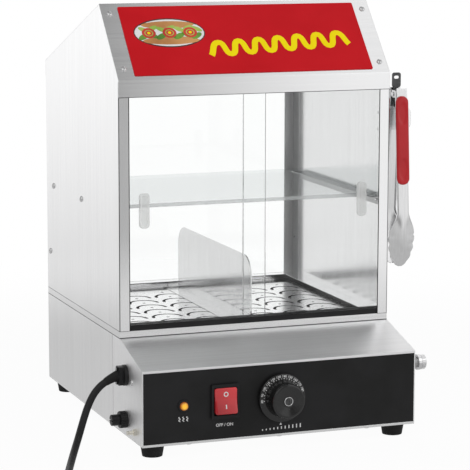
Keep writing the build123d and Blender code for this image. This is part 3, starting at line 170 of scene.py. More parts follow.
# %% Cord: thickness and sleeve
curve.bevel_depth = cord_radius / 1000
curve.bevel_resolution = 6
curve.use_fill_caps = True
sleeve_length = 0.024
sleeve_radius, sleeve_taper = 6.6, 1.7
gone, sleeve_line = 0.0, [cord_line[0]]
for a, b in zip(cord_line, cord_line[1:]):
    gone += (b - a).length
    if gone > sleeve_length:
        break
    sleeve_line.append(b)
sleeve_curve = bpy.data.curves.new("sleeve_line", "CURVE")
sleeve_curve.dimensions = "3D"
sleeve_spline = sleeve_curve.splines.new("POLY")
sleeve_spline.points.add(len(sleeve_line) - 1)
for i, (place, spot) in enumerate(zip(sleeve_spline.points, sleeve_line)):
    place.co = (*spot, 1)
    place.radius = sleeve_radius - sleeve_taper * i / (len(sleeve_line) - 1)
sleeve_curve.bevel_depth = 0.001
sleeve_curve.bevel_resolution = 6
sleeve_curve.use_fill_caps = True
sleeve = bpy.data.objects.new("cord_sleeve", sleeve_curve)
bpy.context.scene.collection.objects.link(sleeve)
bpy.context.view_layer.objects.active = sleeve
sleeve.select_set(True)
bpy.ops.object.convert(target="MESH")
print("sleeve points:", len(sleeve_line))

# %% [markdown]
# Each piece is drawn in millimetres round the origin, because small round numbers are easy to read,
# and is put in its place afterwards. By hand one would click to select, open and finish a piece.
# Here small functions do that: they open a piece, pick faces or edges by a rule, turn the faces
# outwards and apply a modifier.

# %% Workbench
def clear():
    """Leaves edit mode and lets go of everything."""
    if bpy.context.mode != "OBJECT":
        bpy.ops.object.mode_set(mode="OBJECT")
    bpy.ops.object.select_all(action="DESELECT")


def hold(piece):
    """Makes one piece the only selected and active one."""
    clear()
    piece.select_set(True)
    bpy.context.view_layer.objects.active = piece


def started(name):
    """Names the primitive that was just added and opens it for editing, all selected."""
    piece = bpy.context.active_object
    piece.name = name
    bpy.ops.object.mode_set(mode="EDIT")
    bpy.ops.mesh.select_mode(type="VERT")
    bpy.ops.mesh.select_all(action="SELECT")
    return piece


def pick(piece, wanted, kind="FACE"):
    """Selects the faces, edges or vertices for which wanted() holds."""
    bpy.ops.mesh.select_mode(type=kind)
    bpy.ops.mesh.select_all(action="DESELECT")
    mesh = bmesh.from_edit_mesh(piece.data)
    for item in {"FACE": mesh.faces, "EDGE": mesh.edges, "VERT": mesh.verts}[kind]:
        if wanted(item):
            item.select_set(True)
    mesh.select_flush_mode()
    bmesh.update_edit_mesh(piece.data)


def outwards():
    """Closes an edit: every face of the open piece is turned to look outwards."""
    bpy.ops.mesh.select_all(action="SELECT")
    bpy.ops.mesh.normals_make_consistent(inside=False)


def modify(piece, kind, **settings):
    """Adds a modifier with its settings and applies it."""
    hold(piece)
    modifier = piece.modifiers.new(kind.title(), kind)
    for key, value in settings.items():
        setattr(modifier, key, value)
    bpy.ops.object.modifier_apply(modifier=modifier.name)
    return piece


print("workbench ready")

# %% [markdown]
# Most pieces are drawn lying flat and looking up. Then a piece is scaled down to metres, tipped to
# its side of the machine and moved, once. Its object could keep these three, but a pattern laid on
# it would then slide when the piece is exported. So they are written into its mesh.

# %% Putting a piece in its place
to_front, to_left, to_right = (90, 0, 0), (0, -90, 0), (0, 90, 0)


def settle(piece, place=(0, 0, 0), lean=(0, 0, 0), smooth=35):
    """Puts a piece in its place and shades it smooth below an angle in degrees."""
    hold(piece)
    piece.scale = (0.001, 0.001, 0.001)
    piece.rotation_euler = [radians(a) for a in lean]
    piece.location = at(*place)
    bpy.ops.object.transform_apply(location=True, rotation=True, scale=True)
    if smooth:
        bpy.ops.object.shade_smooth_by_angle(angle=radians(smooth))
    return piece


print("a piece tipped to the front leans by", to_front[0], "degrees")

# %% [markdown]
# A finish is a sum of patterns: grain, haze, specks. Such sums could be built node by node, as in
# the Shader Editor, but as code the long list of nodes and links is hard to read. So one small
# class stands for a socket and lets Python's own signs add the Math nodes. Then `lines * 0.1 + 0.3`
# means just that. Every other node comes from its method `node`.

# %% Shader sums
class Paint:
    """A socket of a material, on which arithmetic adds Math nodes."""

    def __init__(self, tree, socket=None):
        self.tree = tree
        self.socket = socket

    def node(self, kind, inputs=None, output=0, **settings):
        """Adds any node, with the values or links of its sockets and its settings."""
        made = self.tree.nodes.new("ShaderNode" + kind)
        for key, value in settings.items():
            setattr(made, key, value)
        for key, value in (inputs or {}).items():
            if isinstance(value, Paint):
                self.tree.links.new(value.socket, made.inputs[key])
            else:
                made.inputs[key].default_value = value
        return Paint(self.tree, made.outputs[output])

    def other(self, output):
        """Another output of the node that this socket belongs to."""
        return Paint(self.tree, self.socket.node.outputs[output])

    def axes(self):
        """The x, y and z of a place."""
        x = self.node("SeparateXYZ", {"Vector": self})
        return x, x.other(1), x.other(2)

    def sum(self, operation, a, b):
        return self.node("Math", {0: a, 1: b}, operation=operation)

    def __add__(self, other):
        return self.sum("ADD", self, other)

    def __sub__(self, other):
        return self.sum("SUBTRACT", self, other)

    def __rsub__(self, other):
        return self.sum("SUBTRACT", other, self)

    def __mul__(self, other):
        return self.sum("MULTIPLY", self, other)

    __radd__, __rmul__ = __add__, __mul__

    def ramp(self, low, high):
        """0 below low, 1 above high, soft between."""
        return self.node("MapRange", {"Value": self, "From Min": low, "From Max": high},
                         interpolation_type="SMOOTHSTEP")

    def between(self, a, b):
        """A colour that goes from a to b as this value goes from 0 to 1."""
        return self.node("Mix", {0: self, 6: a, 7: b}, 2, data_type="RGBA")

    def noise(self, scale, detail=2.0, stretch=(1, 1, 1)):
        """Soft noise of this many waves to the metre, stretched along the axes."""
        place = self.node("Mapping", {"Vector": self, "Scale": stretch})
        return self.node("TexNoise", {"Vector": place, "Scale": scale, "Detail": detail})

    def bump(self, depth, strength=1.0, under=None):
        """A relief of this depth in metres."""
        inputs = {"Strength": strength, "Distance": depth, "Height": self}
        if under is not None:
            inputs["Normal"] = under
        return self.node("Bump", inputs)


print("shader sums ready")

# %% [markdown]
# Every finish starts alike: a material, its main shader and the place on the object that the
# patterns read. The patterns could follow a UV map, but flat sheet and turned parts need no
# unwrapping. What is the same all over a surface is set as a number, and only what changes is
# linked.

# %% Starting a finish
def new_finish(name):
    """A material, its main shader and the place on the object."""
    material = bpy.data.materials.new(name)
    material.use_nodes = True
    shader = material.node_tree.nodes["Principled BSDF"]
    return material, shader, Paint(material.node_tree).node("TexCoord", output=3)


def feed(shader, **values):
    """Sets or links the sockets of the main shader, written with _ for a space."""
    for key, value in values.items():
        socket = shader.inputs[key.replace("_", " ")]
        if isinstance(value, Paint):
            value.tree.links.new(value.socket, socket)
        else:
            socket.default_value = value


def show(material, surface):
    """Makes this mix of shaders the one that the material shows."""
    output = material.node_tree.nodes["Material Output"]
    surface.tree.links.new(surface.socket, output.inputs["Surface"])
    return material


def grey(level, tint=(1, 1, 1)):
    return (level * tint[0], level * tint[1], level * tint[2], 1)


print("a mid grey:", grey(0.5))

# %% [markdown]
# Stainless sheet is brushed in one direction at the mill. The brushing shows as fine streaks of
# lighter and darker metal, handling leaves a faint haze, and every folded edge is a small round
# that catches light. A picture of brushed steel could be laid on, but it would repeat, and blur
# close up. So the streaks are noise stretched along the grain, the haze is slow noise in the
# roughness, and a Bevel node rounds the edges without touching the shape. Inside the cabinet,
# faces below a given height are darkened as painted shade, found by a mask on their place: it
# makes the slot walls of the plates read black, darkens the frame's inner faces under the doors
# and dims the inner faces of the side sheets a little.

# %% Finish: brushed metal
inner_wall, inner_front, inner_rear = (0.179, 0.1796), (1.4, 2.2), (325.2, 326.0)


def painted_shade_mask(where, face):
    """1 on the faces inside the cabinet and below a height in millimetres, 0 elsewhere."""
    across, back, height = where.axes()
    off = across - datum.x / 1000
    front, rear = ([at(0, y, 0).y for y in edge] for edge in (inner_front, inner_rear))
    top = [at(0, 0, face - gap).z for gap in (0.4, 0.1)]
    within_walls = 1 - off.sum("ABSOLUTE", off, 0).ramp(*inner_wall)
    return within_walls * back.ramp(*front) * (1 - back.ramp(*rear)) * (1 - height.ramp(*top))


def brushed(name, tone, rough, stretch, contrast=0.03, edge=0.0006, haze=0.05,
            tint=(1.0, 1.0, 1.005), inside=1.0, face=600.0):
    """Metal of a tone and roughness, with its grain stretched along the axes."""
    material, shader, where = new_finish(name)
    streaks = where.noise(1.0, 3.0, stretch)
    cloud = where.noise(11.0, 3.0)
    dark, light = grey(tone * (1 - contrast), tint), grey(min(1, tone * (1 + contrast)), tint)
    colour = (streaks * 0.75 + cloud * 0.25).ramp(0.3, 0.7).between(dark, light)
    # Painted shade: inside the cabinet and below the height given by face, the colour is multiplied
    # down to the inside share.
    if inside < 1:
        shaded_colour = where.node("Mix", {0: 1.0, 6: colour, 7: grey(inside)}, 2, data_type="RGBA",
                            blend_type="MULTIPLY")
        colour = painted_shade_mask(where, face).between(colour, shaded_colour)
    rounded = where.node("Bevel", {"Radius": edge}, samples=4)
    feed(shader, Base_Color=colour, Metallic=1.0,
         Roughness=cloud * haze + streaks * 0.06 + (rough - 0.05),
         Normal=streaks.bump(0.00002, 0.12, rounded))
    return material


print("brushed metal ready")

# %% [markdown]
# The sheets are all one steel, but the grain runs up the sides and across the front, as they were
# cut. Small parts are zinc plated, chromed, nickelled or blued. Each could be built by itself, but
# they differ only in tone, gloss and grain, so one function makes them all from a few numbers.

# %% Finish: steels and platings
# Painted shade: the inside shares darken the faces inside the cabinet, a little on the side sheets
# and nearly to black on the plates' slot walls and the frame's inner faces.
steel_side = brushed("steel_side", 0.93, 0.16, (40, 420, 5), inside=0.8)
steel_front = brushed("steel_front", 0.9, 0.15, (5, 40, 420))
steel_ledge = brushed("steel_ledge", 0.96, 0.44, (5, 420, 40))
# Painted shade: the inner steel of posts and rails is toned dark for the shade in the cabinet, and
# the tank nearly black for the dark space under the plates.
steel_inner_shaded = brushed("steel_inside_shaded", 0.4, 0.34, (420, 420, 6), edge=0.0004)
steel_tank_shaded = brushed("steel_tank_shaded", 0.12, 0.45, (6, 260, 260), edge=0.0004)
steel_plate = brushed("steel_plate", 0.88, 0.2, (8, 300, 300), 0.03, 0.0003, inside=0.03,
                      face=120.0)
steel_frame = brushed("steel_frame", 0.9, 0.15, (5, 40, 420), inside=0.1, face=126.0)
steel_mirror = brushed("steel_mirror", 0.67, 0.13, (220, 220, 10), 0.03, 0.0004, 0.03)
steel_tongs = brushed("steel_tongs", 0.76, 0.18, (500, 500, 14), 0.04, 0.0003, 0.04)
zinc = brushed("zinc_plate", 0.62, 0.36, (180, 180, 180), 0.1, 0.0003, 0.1, (0.98, 0.99, 1.0))
chrome = brushed("bright_chrome", 0.7, 0.08, (300, 300, 300), 0.02, 0.0002, 0.04)
brass = brushed("nickel_brass", 0.85, 0.26, (150, 150, 150), 0.06, 0.0002, 0.05,
                (0.98, 0.94, 0.84))
blued = brushed("blued_steel", 0.1, 0.3, (200, 200, 200), 0.2, 0.0002)
print("steels:", [m.name for m in bpy.data.materials])

# %% [markdown]
# Painted, moulded and rubber parts don't shine like metal. What makes them real is small: powder
# paint has a fine orange-peel, moulded plastic a faint speckle and a soft gloss, rubber a dull
# bloom. A plain colour would look like a drawing. So one function mixes a fine noise for the grain
# with a slow one for the gloss, and its numbers say how large and how deep.

# %% Finish: paints, plastics and rubber
def moulded(name, dark, light, rough, grain=900.0, depth=0.00002, speckle=0.12, edge=0.0004,
            gloss=0.5):
    """A speckled finish between a dark and a light colour."""
    material, shader, where = new_finish(name)
    fine = where.noise(grain, 2.0)
    slow = where.noise(18.0, 3.0)
    rounded = where.node("Bevel", {"Radius": edge}, samples=4)
    blend = (slow * (1 - speckle) + fine * speckle).ramp(0.3, 0.7)
    feed(shader, Base_Color=blend.between((*dark, 1), (*light, 1)),
         Roughness=slow * 0.1 + (rough - 0.05), Normal=fine.bump(depth, 0.5, rounded),
         Specular_IOR_Level=gloss)
    return material


panel_black = moulded("panel_paint", (0.01, 0.01, 0.01), (0.017, 0.017, 0.018), 0.42, 700,
                      0.00003, gloss=0.22)
knob_black = moulded("knob_plastic", (0.006, 0.006, 0.006), (0.011, 0.011, 0.011), 0.2, 900,
                     0.000004, gloss=0.6)
plastic_black = moulded("fitting_plastic", (0.008, 0.008, 0.009), (0.015, 0.015, 0.016), 0.38,
                        gloss=0.28)
rubber_black = moulded("foot_rubber", (0.01, 0.01, 0.01), (0.02, 0.02, 0.02), 0.62, 500,
                       0.00004, gloss=0.2)
cord_black = moulded("cord_rubber", (0.008, 0.008, 0.008), (0.016, 0.016, 0.017), 0.48, 600,
                     0.00002, gloss=0.28)
sign_red = moulded("sign_enamel", (0.58, 0.004, 0.01), (0.63, 0.006, 0.013), 0.34, 420,
                   0.00001, gloss=0.14)
grip_red = moulded("grip_vinyl", (0.48, 0.006, 0.011), (0.57, 0.01, 0.017), 0.34, 700, 0.00003,
                   gloss=0.5)
terminal_white = moulded("ceramic_white", (0.72, 0.71, 0.68), (0.8, 0.79, 0.77), 0.4)
print("plastics and paints:", len(bpy.data.materials))

# %% [markdown]
# The numbers, the marks and the pattern on the sign are printed, and print is a thin film of ink
# with a soft gloss. It could be a picture on the panel, but a picture shows its pixels close up. So
# each print is a thin piece with a finish of its own. White and yellow are even, and the food
# colours drift between two tones, as a cheap print does.

# %% Finish: inks
print_white = moulded("white_ink", (0.8, 0.8, 0.8), (0.88, 0.88, 0.88), 0.45, edge=0.0001)
print_yellow = moulded("yellow_ink", (1.0, 0.77, 0.0), (1.0, 0.84, 0.0), 0.36, edge=0.0002,
                       gloss=0.15)
print_dark = moulded("dark_ink", (0.05, 0.015, 0.012), (0.08, 0.02, 0.016), 0.45, edge=0.0001)
print_green, print_leaf, print_tan, print_tomato = (
    moulded(name + "_ink", dark, light, 0.42, 200, edge=0.0001) for name, dark, light in (
        ("green", (0.06, 0.2, 0.015), (0.2, 0.42, 0.04)),
        ("light_green", (0.26, 0.46, 0.05), (0.5, 0.66, 0.14)),
        ("tan", (0.46, 0.19, 0.05), (0.72, 0.36, 0.12)),
        ("tomato", (0.5, 0.02, 0.012), (0.74, 0.06, 0.03))))
print("inks:", sum("ink" in m.name for m in bpy.data.materials))

# %% [markdown]
# The switch key is moulded in clear red plastic over a lamp, under a glossy skin. Clear plastic
# with a lamp inside would need many bounces of light. So its light and shade are painted: a colour
# that follows the place on the key makes it deeper red at its lower left and lighter at its upper
# right, which gives the same look at once.

# %% Finish: switch key
key_place = at(-74.5, -88, 50)
rocker_red, shader, where = new_finish("rocker_plastic")
x, _, z = where.axes()
# Painted light and shade: lighter towards the upper right of the key, deeper red towards the lower
# left.
across = x.ramp(key_place.x - 0.015, key_place.x + 0.017)
painted_light_upwards = z.ramp(key_place.z - 0.017, key_place.z + 0.018)
feed(shader, Roughness=where.noise(18.0, 3.0) * 0.06 + 0.1,
     Base_Color=(painted_light_upwards * 0.6 + across * 0.4).between((0.36, 0.004, 0.01, 1),
                                                    (0.8, 0.045, 0.055, 1)),
     Coat_Weight=0.6, Coat_Roughness=0.05, Specular_IOR_Level=0.5)
print("switch key finish at", key_place[:])

# %% [markdown]
# Glass shows itself by what it reflects and by its edges, which gather light and look darker than
# the pane. A refracting shader gives both. Lamps would cast a solid shadow through it, so for
# shadow rays only, the pane is swapped for an open one. The shelf could be made the same way, but
# it is seen nearly edge on and would bend light too often. So the shelf and the acrylic door pulls
# are mostly open, with a share of pale gloss that grows where the surface turns away. The shelf's
# front edge is made mostly solid grey instead, painted shade for the dark look of a glass edge.

# %% Finish: glass and clear plastic
def opened(material, shader, share, level, swap=False):
    """Mixes a shader with an open one. The share is the shader's, or the open one's if swapped."""
    skin = Paint(material.node_tree, shader.outputs[0])
    through = skin.node("BsdfTransparent", {"Color": level})
    pair = (skin, through) if swap else (through, skin)
    return show(material, skin.node("MixShader", {0: share, 1: pair[0], 2: pair[1]}))


def see_through(name, tint, rough, smudge, ior):
    """Refracting glass with a few smudges."""
    material, shader, where = new_finish(name)
    smudges = where.noise(22.0, 4.0).ramp(0.45, 0.8)
    feed(shader, Base_Color=(*tint, 1), Roughness=smudges * smudge + rough, IOR=ior,
         Transmission_Weight=1.0)
    shadow = where.node("LightPath").other("Is Shadow Ray")
    return opened(material, shader, shadow, (0.96, 0.97, 0.97, 1), swap=True)


def thin_clear(name, tint, rough, body, rims=0.6, front=None):
    """A clear sheet without refraction; if the y of its front edge is given, that edge gets painted
    shade.
    """
    material, shader, where = new_finish(name)
    feed(shader, Base_Color=(*tint, 1), Roughness=where.noise(60.0, 3.0) * 0.08 + rough, IOR=1.49)
    rim = where.node("LayerWeight", {"Blend": 0.35}, 1)
    share = rim * rims + body
    # Painted shade: the shelf's front edge is made mostly solid grey.
    if front is not None:
        _, y, _ = where.axes()
        share = share + (1 - y.ramp(front, front + 0.0006)) * 0.55
    return opened(material, shader, share, (0.97, 0.98, 0.98, 1))


door_glass = see_through("door_glass", (0.995, 1.0, 0.998), 0.0, 0.012, 1.3)
acrylic = thin_clear("acrylic_plastic", (0.97, 0.97, 0.96), 0.1, 0.42)
shelf_glass = thin_clear("shelf_glass", (0.4, 0.41, 0.41), 0.03, 0.04, 0.16, at(0, 30, 0).y)
print("clear finishes:", door_glass.name, acrylic.name, shelf_glass.name)

# %% [markdown]
# The indicator lamp is a small amber dome over a neon. The middle is bright where the light comes
# through thin plastic, and the rim is brown where it is thick. A real light inside would flood the
# panel, so the dome glows a little by itself. Its colour follows the distance from the lamp's own
# axis, which a Mapping node brings to the origin.

# %% Finish: amber lens
amber, shader, where = new_finish("amber_lens")
lamp_place = at(-127.5, -88, 48)
centred = where.node("Mapping", {"Vector": where, "Scale": (1, 0, 1),
                                       "Location": (-lamp_place.x, 0, -lamp_place.z)})
from_axis = where.node("VectorMath", {0: centred}, 1, operation="LENGTH")
facets = where.node("TexVoronoi", {"Vector": where, "Scale": 700.0})
rim = from_axis.ramp(0.002, 0.0054)
feed(shader, Base_Color=rim.between((1.0, 0.56, 0.03, 1), (0.4, 0.1, 0.01, 1)), Roughness=0.22,
     Emission_Color=rim.between((1.0, 0.42, 0.02, 1), (0.2, 0.04, 0.0, 1)),
     Emission_Strength=0.35, Coat_Weight=0.5, Normal=facets.bump(0.0002, 0.4))
print("amber lens at", lamp_place[:])

# %% [markdown]
# Now the finishes go onto the parts that keep their drawn shape, because folded sheet and plain
# fittings already look right. It could be done line by line, but a table from finish to parts reads
# like a shopping list and shows at a glance what is made of what.

# %% Dress the drawn parts
worn = {
    steel_side: ["side_panel_left", "side_panel_right", "base_shell", "roof_panel"],
    steel_front: ["hood_front", "bottom_plate", "tongs_holder"],
    steel_frame: ["bottom_frame"],
    steel_ledge: ["control_housing"],
    steel_inner_shaded: ["rear_posts", "shelf_rails", "component_bracket", "drain_pipe"],
    steel_tank_shaded: ["water_tank", "heating_element", "thermostat", "thermal_cutout"],
    steel_plate: ["plate_left", "plate_right", "centre_bar"],
    steel_mirror: ["divider"],
    zinc: ["bottom_screws", "thermostat_shaft", "tongs_spring"],
    brass: ["heater_nuts", "earth_terminal", "drain_nuts", "plug_pins"],
    chrome: ["drain_cap", "tongs_pin"],
    blued: ["tongs_lock"],
    panel_black: ["front_panel"],
    plastic_black: ["switch_body", "lamp_holder", "cord_grip", "fuse_holder", "fuse_cap",
                    "door_tracks"],
    rubber_black: ["feet"],
    sign_red: ["sign_panel"],
    terminal_white: ["terminal_block"],
    amber: ["lamp_lens"],
}
for finish, names in worn.items():
    for name in names:
        nodes[name].data.materials.clear()
        nodes[name].data.materials.append(finish)
print("dressed:", sum(len(names) for names in worn.values()), "of", len(nodes))

# %% [markdown]
# A new piece also has to move with the machine. It could be told that in several places, but then
# one is soon forgotten. So one function says it all: the piece's finish, the body that it rides on,
# and the drawn part that it stands for. The cord and its sleeve come first.

# %% Dress the cord
def dress(piece, finish, body="steamer", replaces=()):
    """Gives a new piece its finish, its body and the parts that it stands for."""
    piece.data.materials.clear()
    piece.data.materials.append(finish)
    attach(piece, body)
    if replaces:
        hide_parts(*replaces)
    return piece


dress(cord, cord_black, replaces=["power_cord", "cord_coil"])
dress(sleeve, rubber_black)
print("dressed:", cord.name, sleeve.name)

# %% [markdown]
# The plug is moulded in one piece round the lead: a soft neck, a waist to hold and a broad face
# that carries the pins. A row of cylinders would leave steps. So a ring of vertices is extruded
# along the plug, and each new ring is resized, which is how a potter would pull it up. Dents in its
# sides give grip, and a subdivision modifier makes it smooth.

# %% Plug
def tell(piece):
    """Says how many faces a piece has."""
    print(piece.name + ":", len(piece.data.polygons), "faces")


sections = [(0, 5.6, 5.6), (3, 6.4, 6.6), (8, 7.4, 7.6), (14, 9.4, 9.6), (20, 11.9, 11.2),
            (26, 12.6, 11.7), (33, 12.8, 11.8), (38.5, 12.8, 11.8), (40, 12.4, 11.4)]
clear()
bpy.ops.mesh.primitive_circle_add(vertices=24, radius=1, fill_type="NGON")
plug = started("plug")
bpy.ops.transform.resize(value=(sections[0][2], sections[0][1], 1))
for (start, wide, high), (end, next_wide, next_high) in zip(sections, sections[1:]):
    bpy.ops.mesh.extrude_region_move(TRANSFORM_OT_translate={"value": (0, 0, end - start)})
    bpy.ops.transform.resize(value=(next_high / high, next_wide / wide, 1),
                             center_override=(0, 0, end))
outwards()
pick(plug, lambda f: abs(f.normal.x) > 0.8 and 19 < f.calc_center_median().z < 34)
bpy.ops.mesh.inset(thickness=0.8, depth=-0.5, use_individual=True)
clear()
modify(plug, "SUBSURF", levels=2, render_levels=2)
settle(plug, (-169, -319.8, -4), to_right, 60)
dress(plug, plastic_black, replaces=["plug_body"])
tell(plug)

# %% [markdown]
# The dial knob is turned plastic: a flat skirt that carries the numbers, a short drum to hold and a
# shallow bowl with a screw at the bottom. It could be stacked from discs, but the soft changes
# between them are what makes it a knob. So a profile is drawn vertex by vertex and spun round, as
# on a lathe. Close pairs of points keep the corners crisp.

# %% Temperature knob
def turned(name, outline, steps=64):
    """A lathe: a line of (radius, height) points is spun round Z."""
    clear()
    bpy.ops.mesh.primitive_plane_add(size=1)
    piece = started(name)
    bpy.ops.mesh.merge(type="CENTER")
    bpy.ops.transform.translate(value=(outline[0][0], 0, outline[0][1]))
    for before, after in zip(outline, outline[1:]):
        step = (after[0] - before[0], 0, after[1] - before[1])
        bpy.ops.mesh.extrude_region_move(TRANSFORM_OT_translate={"value": step})
    bpy.ops.mesh.select_all(action="SELECT")
    bpy.ops.mesh.spin(steps=steps, angle=2 * pi, center=(0, 0, 0), axis=(0, 0, 1))
    bpy.ops.mesh.select_all(action="SELECT")
    bpy.ops.mesh.remove_doubles(threshold=0.001)
    outwards()
    clear()
    return piece


knob_x, panel_y, knob_z = -1, -88, 49
knob_line = [(3, 1.5), (29, 1.5), (30, 1.8), (30.5, 2.6), (30.5, 5.2), (30.1, 6.0), (29.2, 6.5),
             (28.6, 6.6), (24.2, 6.6), (23.5, 6.9), (23.2, 7.6), (22.9, 12), (22.0, 22),
             (21.5, 25.6), (21.0, 27.0), (20.0, 27.8), (18.8, 28.0), (17.4, 27.7), (14.5, 26.9),
             (11, 26.1), (8.6, 25.6), (7.2, 25.5), (1.5, 25.5), (1.5, 19.5), (3, 19.5), (3, 1.5)]
knob = turned("dial_knob", knob_line, 96)
settle(knob, (knob_x, panel_y, knob_z), to_front, 30)
dress(knob, knob_black, "knob", ["knob"])
tell(knob)

# %% [markdown]
# The knob's screw has a domed, blued head with one slot, on a chromed washer. The slot could be
# modelled into the dome, but a straight slot in a round head makes awkward faces. So it is cut with
# a Boolean, as a saw would cut it, and the cutter is thrown away. Two cutters make the cross of the
# case screws, so the cut is written once.

# %% Knob screw
def block(name, low, high):
    """A bar between two corners, left open for editing with all of it selected."""
    clear()
    bpy.ops.mesh.primitive_cube_add(size=1)
    piece = started(name)
    bpy.ops.transform.resize(value=[b - a for a, b in zip(low, high)])
    bpy.ops.transform.translate(value=[(a + b) / 2 for a, b in zip(low, high)])
    return piece


def slab(name, low, high, bevel=0.5, segments=2):
    """A bar between two corners with all its edges rounded."""
    piece = block(name, low, high)
    bpy.ops.mesh.bevel(offset=bevel, segments=segments, affect="EDGES")
    clear()
    return piece


def slotted(piece, width, length, floor, angles):
    """Saws slots of this width and length into a head, down to a floor height."""
    for angle in angles:
        cutter = slab("slot_cutter", (-length / 2, -width / 2, floor),
                      (length / 2, width / 2, floor + 9), 0.05, 1)
        cutter.rotation_euler.z = radians(angle)
        modify(piece, "BOOLEAN", operation="DIFFERENCE", object=cutter, solver="EXACT")
        bpy.data.objects.remove(cutter)
    return piece


bowl_floor = (knob_x, panel_y - 25.5, knob_z)
knob_screw = turned("knob_centre_screw", [
    (0, -12), (1.5, -12), (1.5, 0), (4.4, 0), (4.5, 0.3), (4.3, 0.9), (3.2, 1.35), (1.6, 1.5),
    (0, 1.5)], 48)
slotted(knob_screw, 1.4, 7.6, 0.7, [80])
dress(settle(knob_screw, bowl_floor, to_front), blued, "knob", ["knob_screw"])
washer = turned("knob_washer", [
    (4.6, 0), (5.6, 0), (5.8, 0.5), (5.8, 1.2), (5.5, 1.6), (4.9, 1.6), (4.6, 1.2), (4.6, 0)], 48)
dress(settle(washer, bowl_floor, to_front), chrome, "knob")
tell(knob_screw)

# %% [markdown]
# Three rivets on each side hold the shelf rails and the rear posts. They could be turned one by
# one, but on the real machine all six come out of one box. So one head is turned and copied, each
# copy with its own mesh, and the copies are joined as one piece. All small heads are made this way.

# %% Side rivets
half_width = 180


def twin(piece, name):
    """A copy with its own mesh."""
    hold(piece)
    bpy.ops.object.duplicate(linked=False)
    copy = bpy.context.active_object
    copy.name = name
    return copy


def joined(pieces, name):
    """Several pieces made one."""
    hold(pieces[0])
    for piece in pieces:
        piece.select_set(True)
    bpy.ops.object.join()
    pieces[0].name = name
    return pieces[0]


def heads(name, outline, steps, places, slots=None):
    """Turns one head, saws its slots, copies it to each place with its lean and joins them."""
    head = turned(name, outline, steps)
    if slots:
        slotted(head, *slots)
    copies = [settle(twin(head, name), place, lean) for place, lean in places]
    bpy.data.objects.remove(head)
    print(name + ":", len(copies))
    return joined(copies, name)


rivet_places = [((side * half_width, y, z), (0, side * 90, 0)) for side, y, z in (
    (-1, 163, 269.54), (-1, 294, 269.54), (-1, 313, 178),
    (1, 33.2, 269.54), (1, 294, 269.54), (1, 313, 178))]
rivets = heads("rivet_heads", [
    (0, -3.6), (1.5, -3.6), (1.5, 0), (3.9, 0), (4.0, 0.3), (3.8, 1.0), (3.0, 1.7), (1.7, 2.2),
    (0, 2.3)], 32, rivet_places)
dress(rivets, chrome, replaces=["side_rivets"])
tell(rivets)

# %% [markdown]
# Case screws have a domed head with a cross. Four hold the sign on the sloped hood, two the tongs'
# holder and one the left cheek. Their places on the slope could be typed as three numbers each, but
# a small error would leave a screw hanging. So the slope is worked out once, and a place on the
# hood is given as a distance up from the eave.

# %% Case screws
sheet, eave_z = 1.2, 436
slope = degrees(atan2(87.5, 78.5))
rise = Vector((0, cos(radians(slope)), sin(radians(slope))))
outward = Vector((0, -rise.z, rise.y))
on_slope = (slope, 0, 0)


def on_hood(x, along, height=0.0):
    """A place on the sloped hood: x across, along from the eave up, height above the sheet."""
    spot = rise * along + outward * (sheet + height)
    return (x, spot.y, eave_z + spot.z)


screw_places = [(on_hood(x, along), on_slope) for x in (-170, 170) for along in (16.5, 101.95)]
screw_places += [((181.5, 33.7, 361), to_right), ((181.5, 33.7, 382), to_right),
                 ((-half_width, -48, 72), to_left)]
case_screws = heads("case_screws", [
    (0, -3.2), (1.5, -3.2), (1.5, 0), (3.5, 0), (3.65, 0.3), (3.5, 0.95), (3.0, 1.6), (2.2, 2.1),
    (1.2, 2.4), (0, 2.5)], 32, screw_places, (0.75, 3.8, 1.2, [25, 115]))
dress(case_screws, chrome, replaces=["dome_screws"])
tell(case_screws)

# %% [markdown]
# The scale on the skirt is printed: a number every sixteen and a half degrees, a dot for each and a
# smaller dot between. Numbers could be drawn from lines, but text is the one thing that is easier
# typed than modelled. Each number is turned so that its top points outwards, given a hair of
# thickness and made a mesh before it is placed.

# %% Printed scale
def lettering(words, size, turn=0.0, out=0.0, thick=0.06, bold=0.05):
    """Generic lettering as a thin mesh, moved out along its own up and then turned."""
    clear()
    bpy.ops.object.text_add()
    text = bpy.context.active_object
    text.data.body = words
    text.data.size = size
    text.data.align_x = "CENTER"
    text.data.align_y = "CENTER"
    text.data.extrude = thick
    text.data.offset = bold
    text.data.resolution_u = 3
    bpy.ops.object.convert(target="MESH")
    text.data.transform(Matrix.Rotation(radians(turn), 4, "Z") @ Matrix.Translation((0, out, 0)))
    return text


def dot(radius, x, y, thick=0.06, sides=16):
    """A printed dot: a disc with a chamfered rim."""
    clear()
    bpy.ops.mesh.primitive_circle_add(vertices=sides, radius=radius, fill_type="NGON")
    piece = started("dot")
    bpy.ops.mesh.extrude_region_move(TRANSFORM_OT_translate={"value": (0, 0, thick)})
    bpy.ops.transform.resize(value=(0.94, 0.94, 1), center_override=(0, 0, thick))
    bpy.ops.mesh.select_all(action="SELECT")
    bpy.ops.transform.translate(value=(x, y, 0))
    outwards()
    clear()
    return piece


def ring_dot(radius, angle, ring=24.4):
    """A dot on the ring that runs round the scale."""
    return dot(radius, ring * cos(radians(angle)), ring * sin(radians(angle)))


first_angle, step_angle, steps = 185, 16.5, 10
marks = []
for i in range(steps + 1):
    angle = first_angle - step_angle * i
    marks.append(lettering(str(80 + 10 * i), 4.1, angle - 90, 27.2))
    marks.append(ring_dot(0.75, angle))
    if i < steps:
        marks.append(ring_dot(0.42, angle - step_angle / 2))
marks.append(ring_dot(0.62, -74.7))
scale = settle(joined(marks, "dial_scale"), (knob_x, panel_y - 6.6, knob_z), to_front, 0)
dress(scale, print_white, "knob")
tell(scale)

